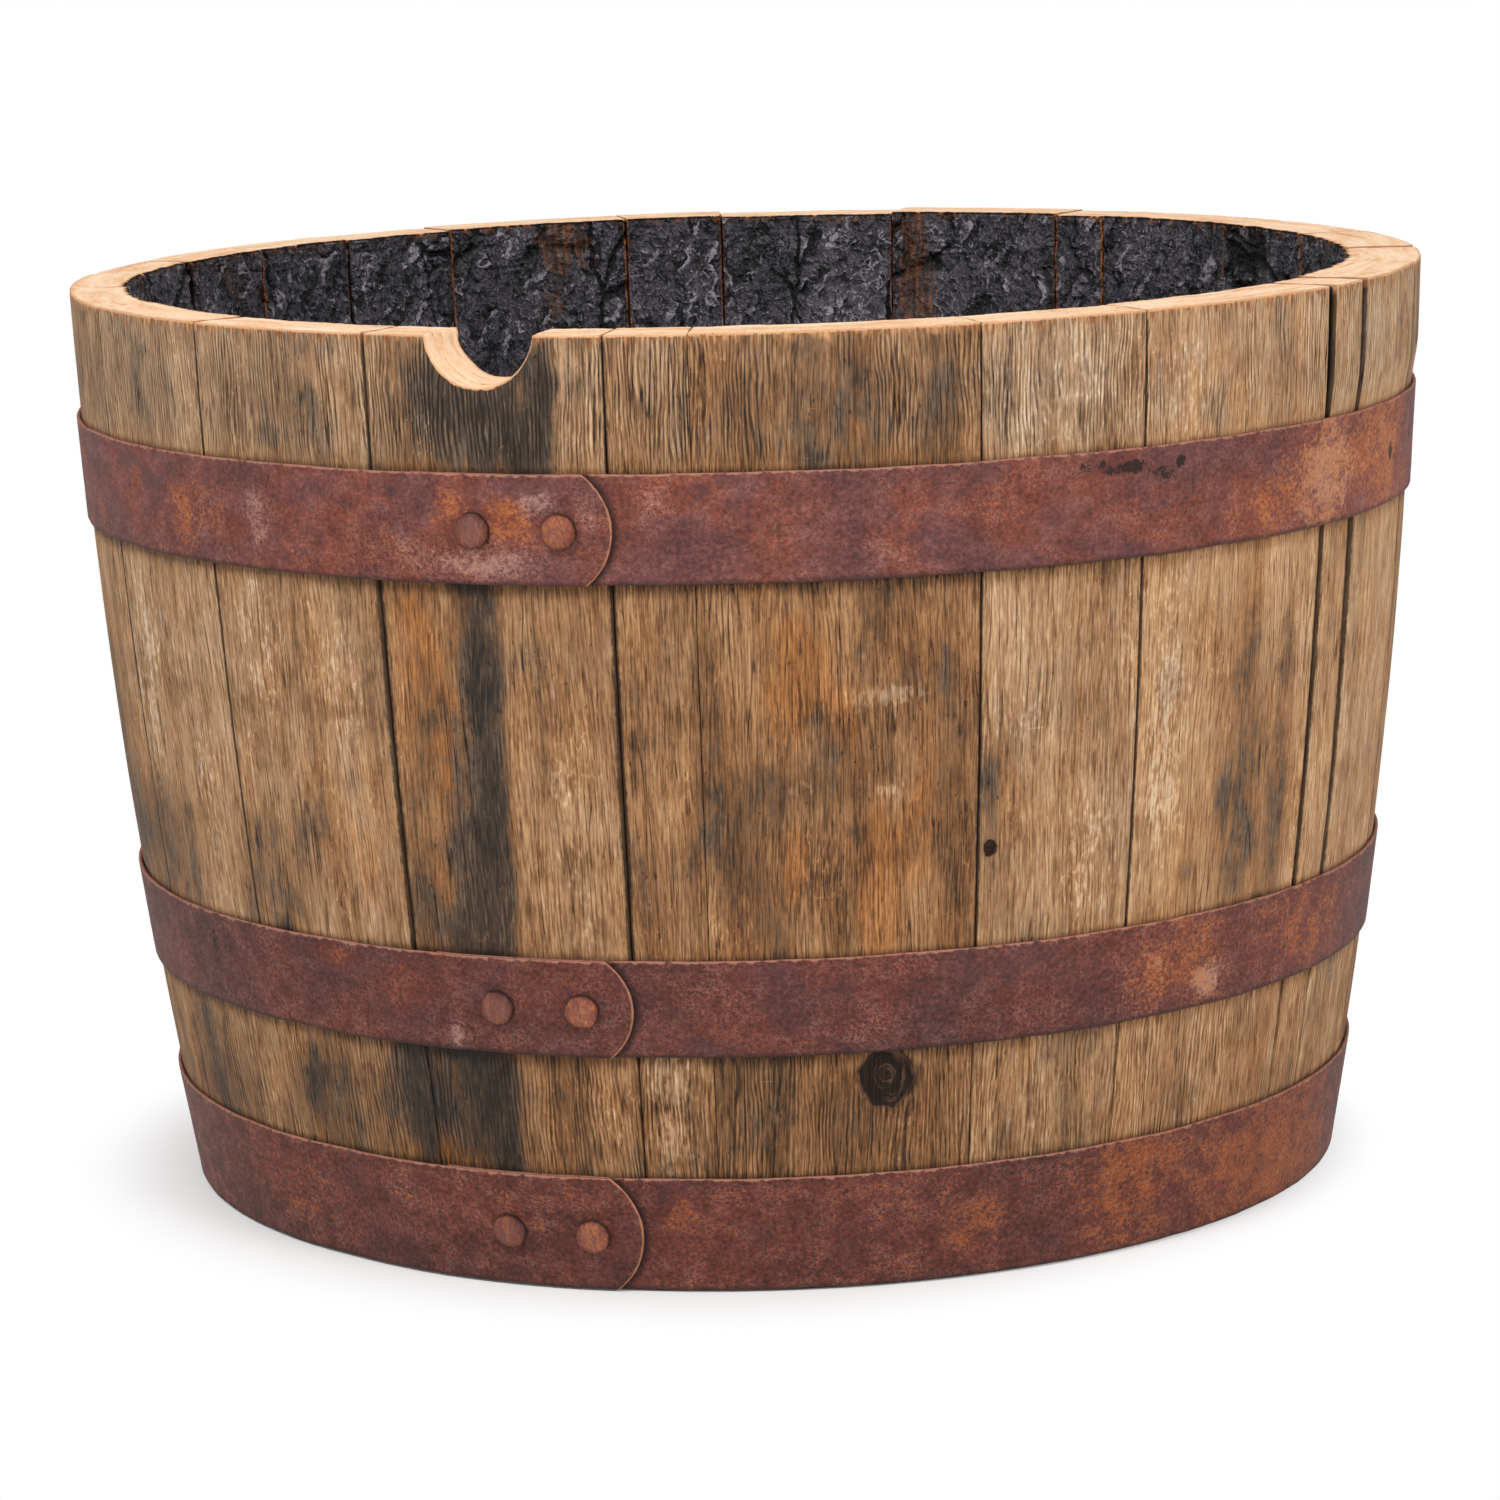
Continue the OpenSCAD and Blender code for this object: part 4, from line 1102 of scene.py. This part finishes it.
def make_hoops():
    shape, finish = hoop_shape(), hoop_finish()
    rivets, rivet_look = rivet_shape(), rivet_finish()
    for k, name in enumerate(HOOPS):
        facts, turns = hoop_facts(name)
        piece = shape.make(f"hoop_{name}_strip", {**facts, "Seed": 40.0 + 7 * k,
                                                  "Tone": HOOP_TONES[name]}, finish)
        stain(piece, HOOP_STAINS)
        dress(piece, "hoop_steel", f"hoop_{name}")

        points = bpy.data.meshes.new("rivet_points")
        lean, offset, bend = math.atan(facts["Lean"]), facts["Lap Offset"], facts["Lap Bend"]
        at, stand = [], []
        for turn in turns:
            lap = turn - facts["Lap Middle"]
            seat = (offset * math.cos(lap) + math.sqrt(bend ** 2 - (offset * math.sin(lap)) ** 2)
                    + STRIP_THICKNESS)
            up = facts["Foot"] + facts["Width"] / 2 - (seat - facts["Radius"]) * math.sin(lean)
            at.append((seat * math.cos(turn), seat * math.sin(turn), up))
            stand += [math.cos(lean) * math.cos(turn), math.cos(lean) * math.sin(turn),
                      -math.sin(lean)]
        points.from_pydata(at, [], [])
        layer = points.attributes.new("stand", "FLOAT_VECTOR", "POINT")
        layer.data.foreach_set("vector", stand)
        heads = rivets.make(f"rivets_{name}_heads", {"Seed": 5.0 + 3 * k}, rivet_look, points)
        dress(heads, "rivet_steel", f"rivets_{name}")


def make_head():
    shape, finish = board_shape(), head_finish()
    for i in range(1, BOARD_COUNT + 1):
        name = f"head_board_{i}"
        body = bmesh.new()
        body.from_mesh(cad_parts[name].data)
        bmesh.ops.remove_doubles(body, verts=body.verts, dist=WELD)
        bmesh.ops.recalc_face_normals(body, faces=body.faces)
        mesh = bpy.data.meshes.new("board_start")
        body.to_mesh(mesh)
        body.free()
        plain = add_object("board_start", mesh)
        remesh = plain.modifiers.new("Even faces", "REMESH")
        remesh.mode, remesh.voxel_size = "VOXEL", VOXEL
        even = carried_out(plain)
        bpy.data.objects.remove(plain)
        even.materials.clear()
        piece = shape.make(f"{name}_oak", {"Seed": 70.0 + 5 * i}, finish, even)
        dress(piece, "charred_oak", name)


make_staves()
make_hoops()
make_head()
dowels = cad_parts["head_dowels"]
dowels.data.materials.clear()
dowels.data.materials.append(dowel_finish())


# ---- Stage, light and camera ----

WHITE = (1, 1, 1, 1)
FLOOR_HALF = 6
# Distances from the middle between which the floor turns into plain white
FLOOR_FADE = (0.270, 0.350)
WORLD_COLOUR, WORLD_LEVEL = (1, 0.99, 0.98, 1), 0.46
# Name, place, width of the disc and power
LAMPS = (("Key softbox", (-0.7, -2.6, 3.3), 1.2, 88),
         ("Fill softbox", (3.2, -1.6, 1.9), 1.8, 52),
         ("Rear softbox", (0.3, 3.0, 2.8), 2.4, 14))
LAMP_TARGET = (0, 0, 0.2)
CAMERA_PLACE = (0.9170, -2.4140, 0.6688)
CAMERA_FORWARD = np.array((-0.35034, 0.91919, -0.17987))
CAMERA_UP = np.array((-0.03823, 0.17785, 0.98332))
CAMERA_LENS, SENSOR_WIDTH, CAMERA_REACH = 126.82, 36, 50


def make_floor():
    mesh = bpy.data.meshes.new("studio_floor")
    corners = [(x * FLOOR_HALF, y * FLOOR_HALF, 0)
               for x, y in ((-1, -1), (1, -1), (1, 1), (-1, 1))]
    mesh.from_pydata(corners, [], [(0, 1, 2, 3)])
    floor = add_object("studio_floor", mesh)
    m = Finish("White studio floor")
    x, y, _ = m.parts(m.node("ShaderNodeTexCoord", output="Object"))
    # On the right the floor turns white sooner
    away = m.root(x * x + y * y) + m.high(x * 0.12 + y * 0.05, 0)
    away = m.smooth(away, *FLOOR_FADE)
    ray = m.node("ShaderNodeLightPath", output="Is Camera Ray")
    seen = m.high(m.high(ray, ray.other("Is Glossy Ray")), ray.other("Is Transmission Ray"))
    grain = m.noise(x * 30, y * 30, 0)
    m.finish(m.mix((246, 246, 246), (250, 250, 250), grain), 0.9, None, 0.1)
    white = m.node("ShaderNodeEmission", None, {"Color": WHITE, "Strength": 1})
    m.show(away * seen, m.shader, white, "Material Output")
    floor.data.materials.append(m.material)


def make_world():
    """Soft light all round. The camera and clear things see it as plain white. Glossy rays
    see the soft light itself, and nothing on the barrel is polished enough to show it."""
    world = bpy.data.worlds.new("Studio")
    world.use_nodes = True
    bpy.context.scene.world = world
    m = Nodes(world.node_tree)
    ray = m.node("ShaderNodeLightPath", output="Is Camera Ray")
    seen = m.high(ray, ray.other("Is Transmission Ray"))
    soft = m.tree.nodes["Background"]
    m.fill(soft, {"Color": WORLD_COLOUR, "Strength": WORLD_LEVEL})
    white = m.node("ShaderNodeBackground", None, {"Color": WHITE, "Strength": 1})
    m.show(seen, soft, white, "World Output")


def place_by(holder, *columns):
    """Places a lamp or camera by its three axes and its origin."""
    holder.matrix_world = Matrix([[c[r] for c in columns] for r in range(3)] + [[0, 0, 0, 1]])


def make_lamp(name, place, size, power):
    lamp = bpy.data.lights.new(name, "AREA")
    lamp.shape, lamp.size, lamp.energy = "DISK", size, power
    way = np.array(place) - np.array(LAMP_TARGET)
    z = way / np.linalg.norm(way)
    x = np.cross((0, 0, 1), z)
    x /= np.linalg.norm(x)
    place_by(add_object(name, lamp), x, np.cross(z, x), z, place)


def make_camera():
    camera = bpy.data.cameras.new("Studio camera")
    camera.lens, camera.sensor_width = CAMERA_LENS, SENSOR_WIDTH
    camera.clip_end = CAMERA_REACH
    holder = add_object("Studio camera", camera)
    right = np.cross(CAMERA_FORWARD, CAMERA_UP)
    place_by(holder, right, CAMERA_UP, -CAMERA_FORWARD, CAMERA_PLACE)
    bpy.context.scene.camera = holder


make_floor()
make_world()
for lamp in LAMPS:
    make_lamp(*lamp)
make_camera()
bpy.context.scene.view_settings.view_transform = "Standard"
